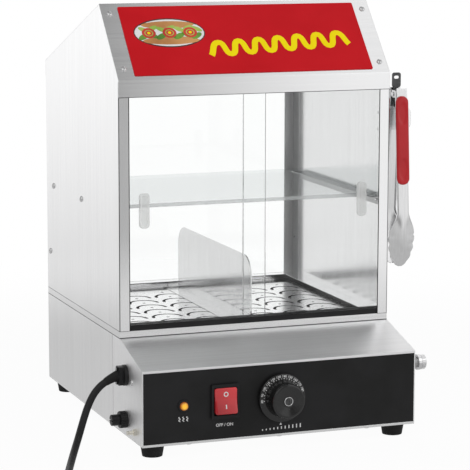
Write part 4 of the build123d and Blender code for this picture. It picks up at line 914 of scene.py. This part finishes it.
# %% [markdown]
# The rocker is a lens-shaped red key, pressed in at the top. Its face is two slopes that meet in a
# soft valley at the pivot, with all corners rounded. Two wedges would meet in a hard crease. So a
# bar is subdivided across, its face is bowed by moving the vertices, and its four corners are
# bevelled. Then it is tilted round its pivot.

# %% Rocker switch
def soften(piece, width, angle=40):
    """Rounds the edges that turn by more than an angle in degrees."""
    modify(piece, "BEVEL", width=width, segments=2, limit_method="ANGLE",
           angle_limit=radians(angle))


def at_corner(edge):
    """True for an upright edge at a corner of the key."""
    spot = (edge.verts[0].co + edge.verts[1].co) / 2
    return abs(spot.x) > 14.2 and abs(spot.y) > 16.0


key_x, key_z, axle_y, tilt = -74.5, 50, -84.0, -6.0
half_key, valley = 16.1, 1.7
rocker = block("rocker_key", (-14.3, -half_key, -4.0), (14.3, half_key, 4.2))
bpy.ops.mesh.subdivide(number_cuts=9)
pick(rocker, lambda f: f.normal.z > 0.9)
bpy.ops.mesh.inset(thickness=1.6, depth=0)
mesh = bmesh.from_edit_mesh(rocker.data)
for vert in mesh.verts:
    if vert.co.z > 4:
        raised = abs(vert.co.x) < 12.8 and abs(vert.co.y) < 14.6
        vert.co.z += valley * (vert.co.y / half_key) ** 2 - valley + (0.35 if raised else 0)
bmesh.update_edit_mesh(rocker.data)
pick(rocker, at_corner, "EDGE")
bpy.ops.mesh.bevel(offset=2.6, segments=4, affect="EDGES")
clear()
soften(rocker, 0.5)
key_front = (key_x, axle_y - 6.4, key_z)
settle(rocker, key_front, to_front, 40)
axle = at(key_x, axle_y, key_z)
key_turn = Matrix.Translation(axle) @ Matrix.Rotation(radians(tilt), 4, "X") \
    @ Matrix.Translation(-axle)
rocker.data.transform(key_turn)
dress(rocker, rocker_red, "rocker", ["rocker"])
tell(rocker)

# %% [markdown]
# The key carries the plain marks of any appliance: a ring for off and a bar for on. They could be a
# flat ring and a strip, but those would cut into the bowed face. So both are soft lines pressed
# nearly flat, and each vertex is lifted to follow the bow.

# %% Switch marks
def ribbon(name, spots, radius, flat=0.12):
    """A line through some spots, drawn as a soft rope and pressed nearly flat."""
    clear()
    bpy.ops.curve.primitive_bezier_curve_add()
    rope = bpy.context.active_object
    rope.name = name
    rope.data.splines.clear()
    run = rope.data.splines.new("BEZIER")
    run.bezier_points.add(len(spots) - 1)
    for point, (x, y) in zip(run.bezier_points, spots):
        point.co = (x, y, 0)
        point.handle_left_type = point.handle_right_type = "AUTO"
    rope.data.resolution_u = 8
    rope.data.bevel_depth = radius
    rope.data.bevel_resolution = 3
    rope.data.use_fill_caps = True
    bpy.ops.object.convert(target="MESH")
    rope.data.transform(Matrix.Diagonal((1, 1, flat, 1)))
    return rope


ring = [(2.5 * cos(radians(a)), 8.3 + 2.5 * sin(radians(a))) for a in range(0, 361, 30)]
off_mark = ribbon("off_ring", ring, 0.62, 0.3)
on_mark = ribbon("on_bar", [(0, -4.6), (0, -7.0), (0, -9.6)], 0.75, 0.3)
key_marks = joined([off_mark, on_mark], "rocker_marks")
for vert in key_marks.data.vertices:
    vert.co.z += 3.0 + valley * (vert.co.y / half_key) ** 2
settle(key_marks, key_front, to_front, 40)
key_marks.data.transform(key_turn)
dress(key_marks, print_white, "rocker")
tell(key_marks)

# %% [markdown]
# The panel has the words OFF and ON under the switch, three waves for heat under the lamp, and a
# row of growing bars with a pointer under the knob. The bars could be boxes, but printed lines have
# soft ends, so waves and bars are ribbons like the marks on the key.

# %% Panel marks
words = lettering("OFF / ON", 5.4)
words.data.transform(Matrix.Translation((-74.7, 20.2, 0)))
panel_marks = [words]
for shift in (-5, 0, 5):
    wave = [(-127.8 + shift + 0.9 * (1, 0, -1, 0)[i % 4], 28.6 + 0.85 * i) for i in range(8)]
    panel_marks.append(ribbon("heat_wave", wave, 0.45, 0.2))
bar_foot = 8.6
for i in range(11):
    bar = [(-25 + 5 * i, bar_foot), (-25 + 5 * i, bar_foot + 1.4 + 0.38 * i)]
    panel_marks.append(ribbon("scale_bar", bar, 0.7))
panel_marks.append(dot(1.9, knob_x, 14.9, 0.08, 3))
panel_print = settle(joined(panel_marks, "panel_print"), (0, panel_y, 0), to_front, 40)
dress(panel_print, print_white)
tell(panel_print)

# %% [markdown]
# The red sign wears a wavy yellow line, like mustard out of the bottle. It could be cut from a flat
# sheet, but mustard has a round back and one width all along. So it is a thick ribbon through
# points that swing up and down along a rising line.

# %% Sign: mustard line
print_height = 0.8
wave = []
for i in range(15):
    x = -52 + 188 * i / 14
    wave.append((x, 42.5 + 13 * (x + 55) / 194 + (9.6 if i % 2 else -9.6)))
mustard = ribbon("mustard_line", wave, 4.0, 0.11)
dress(settle(mustard, on_hood(0, 0, print_height), on_slope, 50), print_yellow)
tell(mustard)

# %% [markdown]
# Beside it sits an oval badge in the colours of a snack bar: sliced rounds between leaves, on
# white. It could be one painted picture, but it has to stay crisp close up. So each motif is a thin
# printed disc, made oval by scaling and stacked a hair above the one below, and motifs of one
# colour become one piece.

# %% Sign: badge
def oval(wide, high, x=0.0, y=0.0, layer=0.0, turn=0.0, thick=0.08):
    """A thin printed oval on a given layer of the print."""
    piece = dot(1, 0, 0, thick, 32)
    piece.data.transform(Matrix.Translation((x, y, layer)) @ Matrix.Rotation(radians(turn), 4, "Z")
                         @ Matrix.Diagonal((wide / 2, high / 2, 1, 1)))
    return piece


badge = {print_dark: [oval(93.6, 45.6)], print_white: [oval(91, 43, layer=0.05)],
         print_tan: [oval(74, 13, 0, -12.0, 0.1), oval(70, 12, 0, 12.4, 0.1)],
         print_green: [], print_leaf: [], print_tomato: [], print_yellow: []}
for i in range(7):
    x, odd = -34.5 + 11.5 * i, i % 2
    badge[print_green].append(oval(16, 7.6, x, -5.4 + odd * 2, 0.15, 30 - 60 * odd))
    badge[print_leaf].append(oval(15, 6.6, x + 2, 5.2 + odd * 2, 0.15, -28 + 56 * odd))
for x in (-27, 0, 27):
    badge[print_tomato].append(oval(18, 16, x, 0, 0.22))
    badge[print_yellow].append(oval(4.2, 4.0, x, 0, 0.36))
    badge[print_leaf].append(oval(11.6, 10.2, x, 0, 0.28, thick=0.04))
    badge[print_tomato].append(oval(9.2, 8.0, x, 0, 0.3, thick=0.05))
for finish, motifs in badge.items():
    motif = joined(motifs, "badge_" + finish.name)
    dress(settle(motif, on_hood(-99, 70, print_height), on_slope, 0), finish)
print("badge colours:", len(badge))

# %% [markdown]
# Panes are ground and polished at the factory, so their edges are never sharp. The drawn panes
# could be kept, but their sharp edges would hardly show. So each pane is a bar between the two
# corners of the drawn one, with all edges rounded by half a millimetre. The rounded edge is what
# makes a clear door visible at all.

# %% Glass panes
def drawn(node):
    """The box of a drawn part in working millimetres."""
    return [corner * 1000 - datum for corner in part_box(node)]


for node, name, body, finish in (("left_door", "door_pane_left", "left_door", door_glass),
                                 ("right_door", "door_pane_right", "right_door", door_glass),
                                 ("rear_glass", "rear_pane", "steamer", door_glass),
                                 ("glass_shelf", "shelf_pane", "shelf", shelf_glass)):
    pane = settle(slab(name, *drawn(node)), smooth=0)
    dress(pane, finish, body, [node])
    tell(pane)

# %% [markdown]
# Where two sheets meet, the joint shows as a dark line, the shade in a narrow gap or fold. Seen
# from across a room, those lines are what draws the machine. They could be real gaps, but light
# finds its way into those and they turn pale. So each one is painted shade: a thin dark bar that
# stands a hair proud of the sheets, and both sides have the same seven.

# %% Painted shade lines
# Painted shade: a thin dark bar along a joint between sheets.
def joint(low, high):
    return slab("joint", low, high, 0.05, 1)


def beside(side, y_low, y_high, z_low, z_high, reach=180.05, depth=0.5):
    """A dark bar of painted shade on the left (-1) or right (1) side, from a reach inwards."""
    inner, outer = sorted((side * (reach - depth), side * reach))
    return joint((inner, y_low, z_low), (outer, y_high, z_high))


shade_lines = [joint((-half_width, -0.35, 117.0), (half_width, 0.2, 118.2)),
          joint((-half_width, -1.3, 415.0), (half_width, -0.6, 415.6))]
for side in (-1, 1):
    shade_lines += [
        beside(side, 0, 327, 117.0, 117.9),
        beside(side, 0, 327, 125.65, 126.3),
        beside(side, 29.75, 30.25, 1.2, 117.5),
        beside(side, -0.05, 1.2, 126, 434, depth=0.75),
        beside(side, -0.05, 0.25, 125.75, 126.25, 180, 13.4),
        beside(side, -0.05, 0.4, 126, 415.4, 167.4, 1.1),
        beside(side, 20, 302, 119.8, 120.1, 23.0, 0.9),
    ]
dress(settle(joined(shade_lines, "painted_shade_lines"), smooth=0), plastic_black)
print("joint lines:", len(shade_lines))

# %% [markdown]
# The door pulls are small plates of clear acrylic with a dish for the finger. The dish could be cut
# out with a Boolean, but it is only a millimetre deep. So the four corners are bevelled widely, and
# the front face is inset and pushed in.

# %% Door pulls
def runs_along(axis):
    """A test for edges that run along x, y or z, which are 0, 1 and 2."""
    return lambda e: abs((e.verts[0].co - e.verts[1].co).normalized()[axis]) > 0.9


for node, name, body in (("left_handle", "door_pull_left", "left_door"),
                         ("right_handle", "door_pull_right", "right_door")):
    pull_plate = block(name, *drawn(node))
    pick(pull_plate, runs_along(1), "EDGE")
    bpy.ops.mesh.bevel(offset=4.6, segments=6, affect="EDGES")
    pick(pull_plate, lambda f: f.normal.y < -0.9)
    bpy.ops.mesh.inset(thickness=2.2, depth=0)
    bpy.ops.mesh.inset(thickness=0.8, depth=-1.0)
    clear()
    soften(pull_plate, 0.35)
    dress(settle(pull_plate, smooth=0), acrylic, body, [node])
    tell(pull_plate)

# %% [markdown]
# Serving tongs are pressed from spring steel. Each arm is a strip with turned-in edges that leans
# out from the pivot, swings back in a long arc and ends in a cupped head with a scalloped rim,
# which grips a slippery roll. It could be sculpted, but both arms have to match. So one rule draws
# it: how far down the arm and how far across it, to a place in millimetres from the pivot.

# %% Tongs: the shape of an arm
pivot = (204, 25.75, 406)
arm_lean = radians(4)
strip_top, strip_low, strip_out = 8.0, 150.0, 10.5
bend, drop = 200.0, 73.0
strip_half, head_half, turned_edge = 7.5, 17.7, 3.4
head_share = 0.45
foot_y = strip_out + strip_low * sin(arm_lean)
foot_z = -strip_low * cos(arm_lean)
bend_y = foot_y - bend * cos(arm_lean)
bend_z = foot_z - bend * sin(arm_lean)
fall = (bend_z - foot_z + drop) / bend
last_angle = -atan2(fall, (1 - fall ** 2) ** 0.5)


def head_width(share):
    """Half the width of the head at a share of its length, with scallops past its widest place."""
    if share <= 0.42:
        return strip_half + (head_half - strip_half) * soft(share / 0.42)
    closing = min(1, (share - 0.42) / 0.58)
    scallop = 2.4 * (abs(sin(pi * 3.5 * closing)) - 0.5) * (1 - closing) ** 0.3
    return head_half * max(0.02, 1 - closing ** 2.3) ** 0.5 + scallop


def arm_spot(run, across):
    """A place on the front arm: run goes 0..1 from its top to its tip, across goes -1..1."""
    if run < 1 - head_share:
        down = -strip_top + (strip_top + strip_low) * run / (1 - head_share)
        y, z = strip_out + down * sin(arm_lean), -down * cos(arm_lean)
        wide, cup, lip = strip_half, 0.0, turned_edge * soft(run * 30)
    else:
        share = sin(pi / 2 * (run - 1 + head_share) / head_share)
        angle = arm_lean + (last_angle - arm_lean) * share
        y, z = bend_y + bend * cos(angle), bend_z + bend * sin(angle)
        wide, cup = head_width(share), 6.0 * soft(share / 0.5) * (1 - 0.35 * share)
        lip = turned_edge * (1 - soft(share / 0.3))
    side = min(1, abs(across) / 0.86)
    turned_in = max(0, abs(across) - 0.86) / 0.14
    inward = cup * side ** 2 * (wide / head_half) + lip * turned_in
    return Vector((wide * side * (1 if across > 0 else -1), -(y - inward), z))


print("tip of the arm:", [round(v, 1) for v in arm_spot(1, 0)], "mm from the pivot")

# %% [markdown]
# A pressed arm could be cut from a solid, but it has one thickness all over, so it is easier to
# shape a surface and thicken it. A grid is the right start: its rows run down the arm, its columns
# across it, and each vertex is moved to the place that the rule gives. Solidify then gives the
# sheet its thickness.

# %% Tongs: the sheet
clear()
bpy.ops.mesh.primitive_grid_add(x_subdivisions=14, y_subdivisions=96, size=2)
arm = bpy.context.active_object
for vert in arm.data.vertices:
    vert.co = arm_spot((1 - vert.co.y) / 2, vert.co.x)
arm = started("tongs_arm_front_sheet")
outwards()
clear()
if sum(face.normal.y * face.area for face in arm.data.polygons) > 0:
    arm.data.flip_normals()
modify(arm, "SOLIDIFY", thickness=1.0, offset=-1.0)
tell(arm)

# %% [markdown]
# At the top each arm has two ears with an eye for the pin. The eye could be a plain hole, but a
# turned ring also gives it the raised rim that a punch leaves. The rear arm could be drawn anew,
# but it is the same pressing, so it is the front one turned by half a turn, with its ears squeezed
# together to sit inside the others.

# %% Tongs: ears and assembly
ears = []
for plate_x, eye_x in ((-7.45, -7.5), (6.35, 6.3)):
    ears.append(slab("ear_plate", (0, -10.2, -4.6), (1.1, 0.0, 4.6), 0.3, 2))
    ears[-1].data.transform(Matrix.Translation((plate_x, 0, 0)))
    eye = turned("ear_eye", [(2.1, 0), (4.6, 0), (4.9, 0.3), (4.9, 0.9), (4.6, 1.2), (2.1, 1.2),
                             (2.1, 0)], 32)
    eye.data.transform(Matrix.Translation((eye_x, 0, 0)) @ Matrix.Rotation(pi / 2, 4, "Y"))
    ears.append(eye)
rear_arm = twin(arm, "tongs_arm_rear_sheet")
front_ears = [twin(ear, "ear") for ear in ears]
for ear in ears:
    ear.data.transform(Matrix.Diagonal((0.8, 1, 1, 1)))
front_arm = joined([arm] + front_ears, "tongs_arm_front_sheet")
rear_arm = joined([rear_arm] + ears, "tongs_arm_rear_sheet")
for piece, spin, body, node in ((front_arm, 0, "front_arm", "tongs_arm_front"),
                                (rear_arm, 180, "rear_arm", "tongs_arm_rear")):
    soften(piece, 0.25, 50)
    settle(piece, pivot, (0, 0, spin), 50)
    dress(piece, steel_tongs, body, [node])
tell(front_arm)

# %% [markdown]
# A vinyl grip is slipped over each arm: a flat capsule with a shallow rest for the thumb near each
# end. The rests could be cut with a Boolean, but soft vinyl has no sharp edges. So a bar with round
# corners is remeshed evenly, which gives vertices to shape. Its rim is rolled over, and the rests
# are pressed in inside two ovals.

# %% Tongs grips
grip_middle, grip_half = -59, 57
grip = block("tongs_grip_front_vinyl", (-8.9, grip_middle - grip_half, -0.5),
             (8.9, grip_middle + grip_half, 2.9))
pick(grip, runs_along(2), "EDGE")
bpy.ops.mesh.bevel(offset=8.6, segments=8, affect="EDGES")
clear()
modify(grip, "REMESH", mode="VOXEL", voxel_size=0.9)
for vert in grip.data.vertices:
    x, y, z = vert.co
    if z > 1.0:
        past_end = max(0, abs(y - grip_middle) - grip_half + 8.6)
        rim = max(0, hypot(x, past_end) - 6.4) / 2.9
        vert.co.z -= 1.5 * rim ** 2
        for rest in (-24, -96):
            inside = 1 - (x / 6.6) ** 2 - ((y - rest) / 15) ** 2
            if inside > 0:
                vert.co.z -= 1.1 * min(1, inside * 2.2)
modify(grip, "SMOOTH", factor=0.5, iterations=4)
rear_grip = twin(grip, "tongs_grip_rear_vinyl")
for piece, spin, side, body, node in ((grip, 0, -1, "front_arm", "grip_front"),
                                      (rear_grip, 180, 1, "rear_arm", "grip_rear")):
    settle(piece, (pivot[0], pivot[1] + side * strip_out, pivot[2]), (86, 0, spin), 60)
    dress(piece, grip_red, body, [node])
tell(grip)

# %% [markdown]
# Things that fingers turn are ribbed: the collar of the fuse holder and the drain cap. The ribs
# could be bars set round a ring, but moulded ribs grow out of it. So a lathe ring gets twice as
# many faces as ribs, and every second face is inset and pushed outwards.

# %% Ribbed rings
def ribbed(name, radius, length, ribs, height):
    """A ring round Z with this many ribs of this height."""
    piece = turned(name, [
        (radius - 1, 0), (radius - 0.3, 0), (radius, 0.3), (radius, length - 0.3),
        (radius - 0.3, length), (radius - 1, length), (radius - 1, 0)], 2 * ribs)
    hold(piece)
    bpy.ops.object.mode_set(mode="EDIT")
    step = 180 / ribs

    def every_second(face):
        spot = face.calc_center_median()
        outer = face.normal.x * spot.x + face.normal.y * spot.y > 0.9 * radius
        large = face.calc_area() > 0.5 * length * radius * radians(step)
        turn = degrees(atan2(spot.y, spot.x)) % 360
        return outer and large and int(turn // step) % 2 == 0

    pick(piece, every_second)
    bpy.ops.mesh.inset(thickness=0.12, depth=height, use_individual=True)
    clear()
    return piece


fuse_ring = settle(ribbed("fuse_collar", 10.1, 8.6, 22, 0.45), (-180.2, -23, 21), to_left, 40)
dress(fuse_ring, plastic_black)
drain_ring = settle(ribbed("drain_cap_ribs", 9.1, 6.0, 24, 0.5), (213.6, -30, 65), to_right, 40)
dress(drain_ring, chrome, "drain_cap")
tell(fuse_ring)
tell(drain_ring)

# %% [markdown]
# Two small slotted screws press the clamp on the lead, one above it and one below. Plain discs
# would do from afar, but up close a clamp without screws looks moulded. They are made like the
# other small heads, with a single slot.

# %% Clamp screws
clamp_screws = heads("clamp_screws", [
    (0, -1), (2.1, -1), (2.1, 0.5), (1.8, 0.9), (1.0, 1.1), (0, 1.1)], 24,
    [((-192.6, -23, z), to_left) for z in (68.3, 84.7)], (0.6, 3.6, 0.5, [15]))
dress(clamp_screws, zinc)
tell(clamp_screws)

# %% [markdown]
# The machine stands on a pale sheet of paper that fades into a white room. More light on a white
# floor would look the same, but it would burn out the steel. So camera, mirror and glass rays see
# the paper nearly white. In mirrors it is greyer, most of all near the machine, which is painted
# shade of the machine on the paper. For the rest it is a matt surface, so that it still shows the
# machine's shadow.

# %% Floor
clear()
bpy.ops.mesh.primitive_circle_add(vertices=128, radius=1.3, fill_type="NGON",
                                  location=(0, 0, -0.0002))
floor = bpy.context.active_object
floor.name = "floor"
paper = bpy.data.materials.new("floor_paper")
paper.use_nodes = True
where = Paint(paper.node_tree).node("TexCoord", output=3)
far = where.node("VectorMath", {0: where}, 1, operation="LENGTH").ramp(0.6, 1.2)
camera_ray = where.node("LightPath")
glossy, through = camera_ray.other("Is Glossy Ray"), camera_ray.other("Is Transmission Ray")
seen = camera_ray + glossy + through
mirrored = glossy * (1 - through)
matt = where.node("BsdfDiffuse", {"Color": grey(0.86)})
# Painted shade: mirrors see the paper greyer, most of all near the machine.
paper_level_shaded_in_mirrors = 1 - mirrored * (0.42 - far * 0.2)
white = where.node("Emission", {"Color": grey(1), "Strength": paper_level_shaded_in_mirrors})
share = seen.sum("MINIMUM", seen, 1.0) * (0.95 + far * 0.05)
show(paper, where.node("MixShader", {0: share, 1: matt, 2: white}))
floor.data.materials.append(paper)
print("floor:", floor.name)

# %% [markdown]
# Steel looks like steel only when it has something light and something dark to mirror. Walls could
# be built round the machine, but the world's shader does the same without more pieces. The room is
# plain white to the camera and through glass, gives an even light to matt surfaces, and shows
# mirrors a studio: a bright wall to the right of the machine and another behind it, with grey
# between them. Where the lamps hang, the wall is dim, so that both together don't burn out on the
# roof.

# %% Room
room = bpy.data.worlds.new("white_room")
bpy.context.scene.world = room
room.use_nodes = True
room.node_tree.nodes.clear()
heading = Paint(room.node_tree).node("TexCoord")
x_axis, y_axis, z_axis = heading.axes()
right_wall = x_axis.ramp(0.265, 0.39) * (1 - x_axis.ramp(0.43, 0.65) * 0.55) \
    * (z_axis.ramp(-0.4, 0.1) * 0.2 + 0.8)
left_wall = (1 - x_axis.ramp(0.02, 0.2)) * 0.3
rear_wall = y_axis.ramp(0.72, 0.88) * z_axis.ramp(-0.4, -0.02)
walls = (rear_wall.sum("MAXIMUM", right_wall + left_wall, rear_wall)) * 0.87 + 0.2
near_lamps = z_axis.ramp(0.1, 0.4) * (1 - y_axis.ramp(-0.25, 0.05))
beam = x_axis.ramp(0.15, 0.28) * (1 - x_axis.ramp(0.43, 0.58))
studio = walls * (1 - near_lamps * (1 - beam * 0.85)) + near_lamps * (1 - beam) * 0.35
camera_ray = heading.node("LightPath")
mirrored = camera_ray.other("Is Glossy Ray")
straight = camera_ray.sum("MAXIMUM", camera_ray, camera_ray.other("Is Transmission Ray"))
level = mirrored * studio + (1 - mirrored) * 0.55
level = straight + (1 - straight) * level
background = heading.node("Background", {"Color": grey(1), "Strength": level})
output = room.node_tree.nodes.new("ShaderNodeOutputWorld")
room.node_tree.links.new(background.socket, output.inputs["Surface"])
print("room nodes:", len(room.node_tree.nodes))

# %% [markdown]
# Two large soft lamps hang in front, the stronger one on the left. Small lamps would give the same
# light, but they would burn out wherever the steel mirrors them, and their shadows would be hard.
# Wide ones stay gentle enough to be mirrored.

# %% Lamps
def lamp(name, place, size, power):
    """A square soft lamp that looks at the middle of the machine."""
    clear()
    bpy.ops.object.light_add(type="AREA", location=place)
    made = bpy.context.active_object
    made.name = name
    made.data.shape = "SQUARE"
    made.data.size = size
    made.data.energy = power
    aim = Vector((0, 0, 0.25)) - Vector(place)
    made.rotation_euler = aim.to_track_quat("-Z", "Y").to_euler()


lamp("key_lamp", (-1.6, -2.0, 2.4), 3.5, 27)
lamp("fill_lamp", (2.2, -1.6, 1.6), 2.6, 14)
scene = bpy.context.scene
scene.view_settings.view_transform = "Standard"
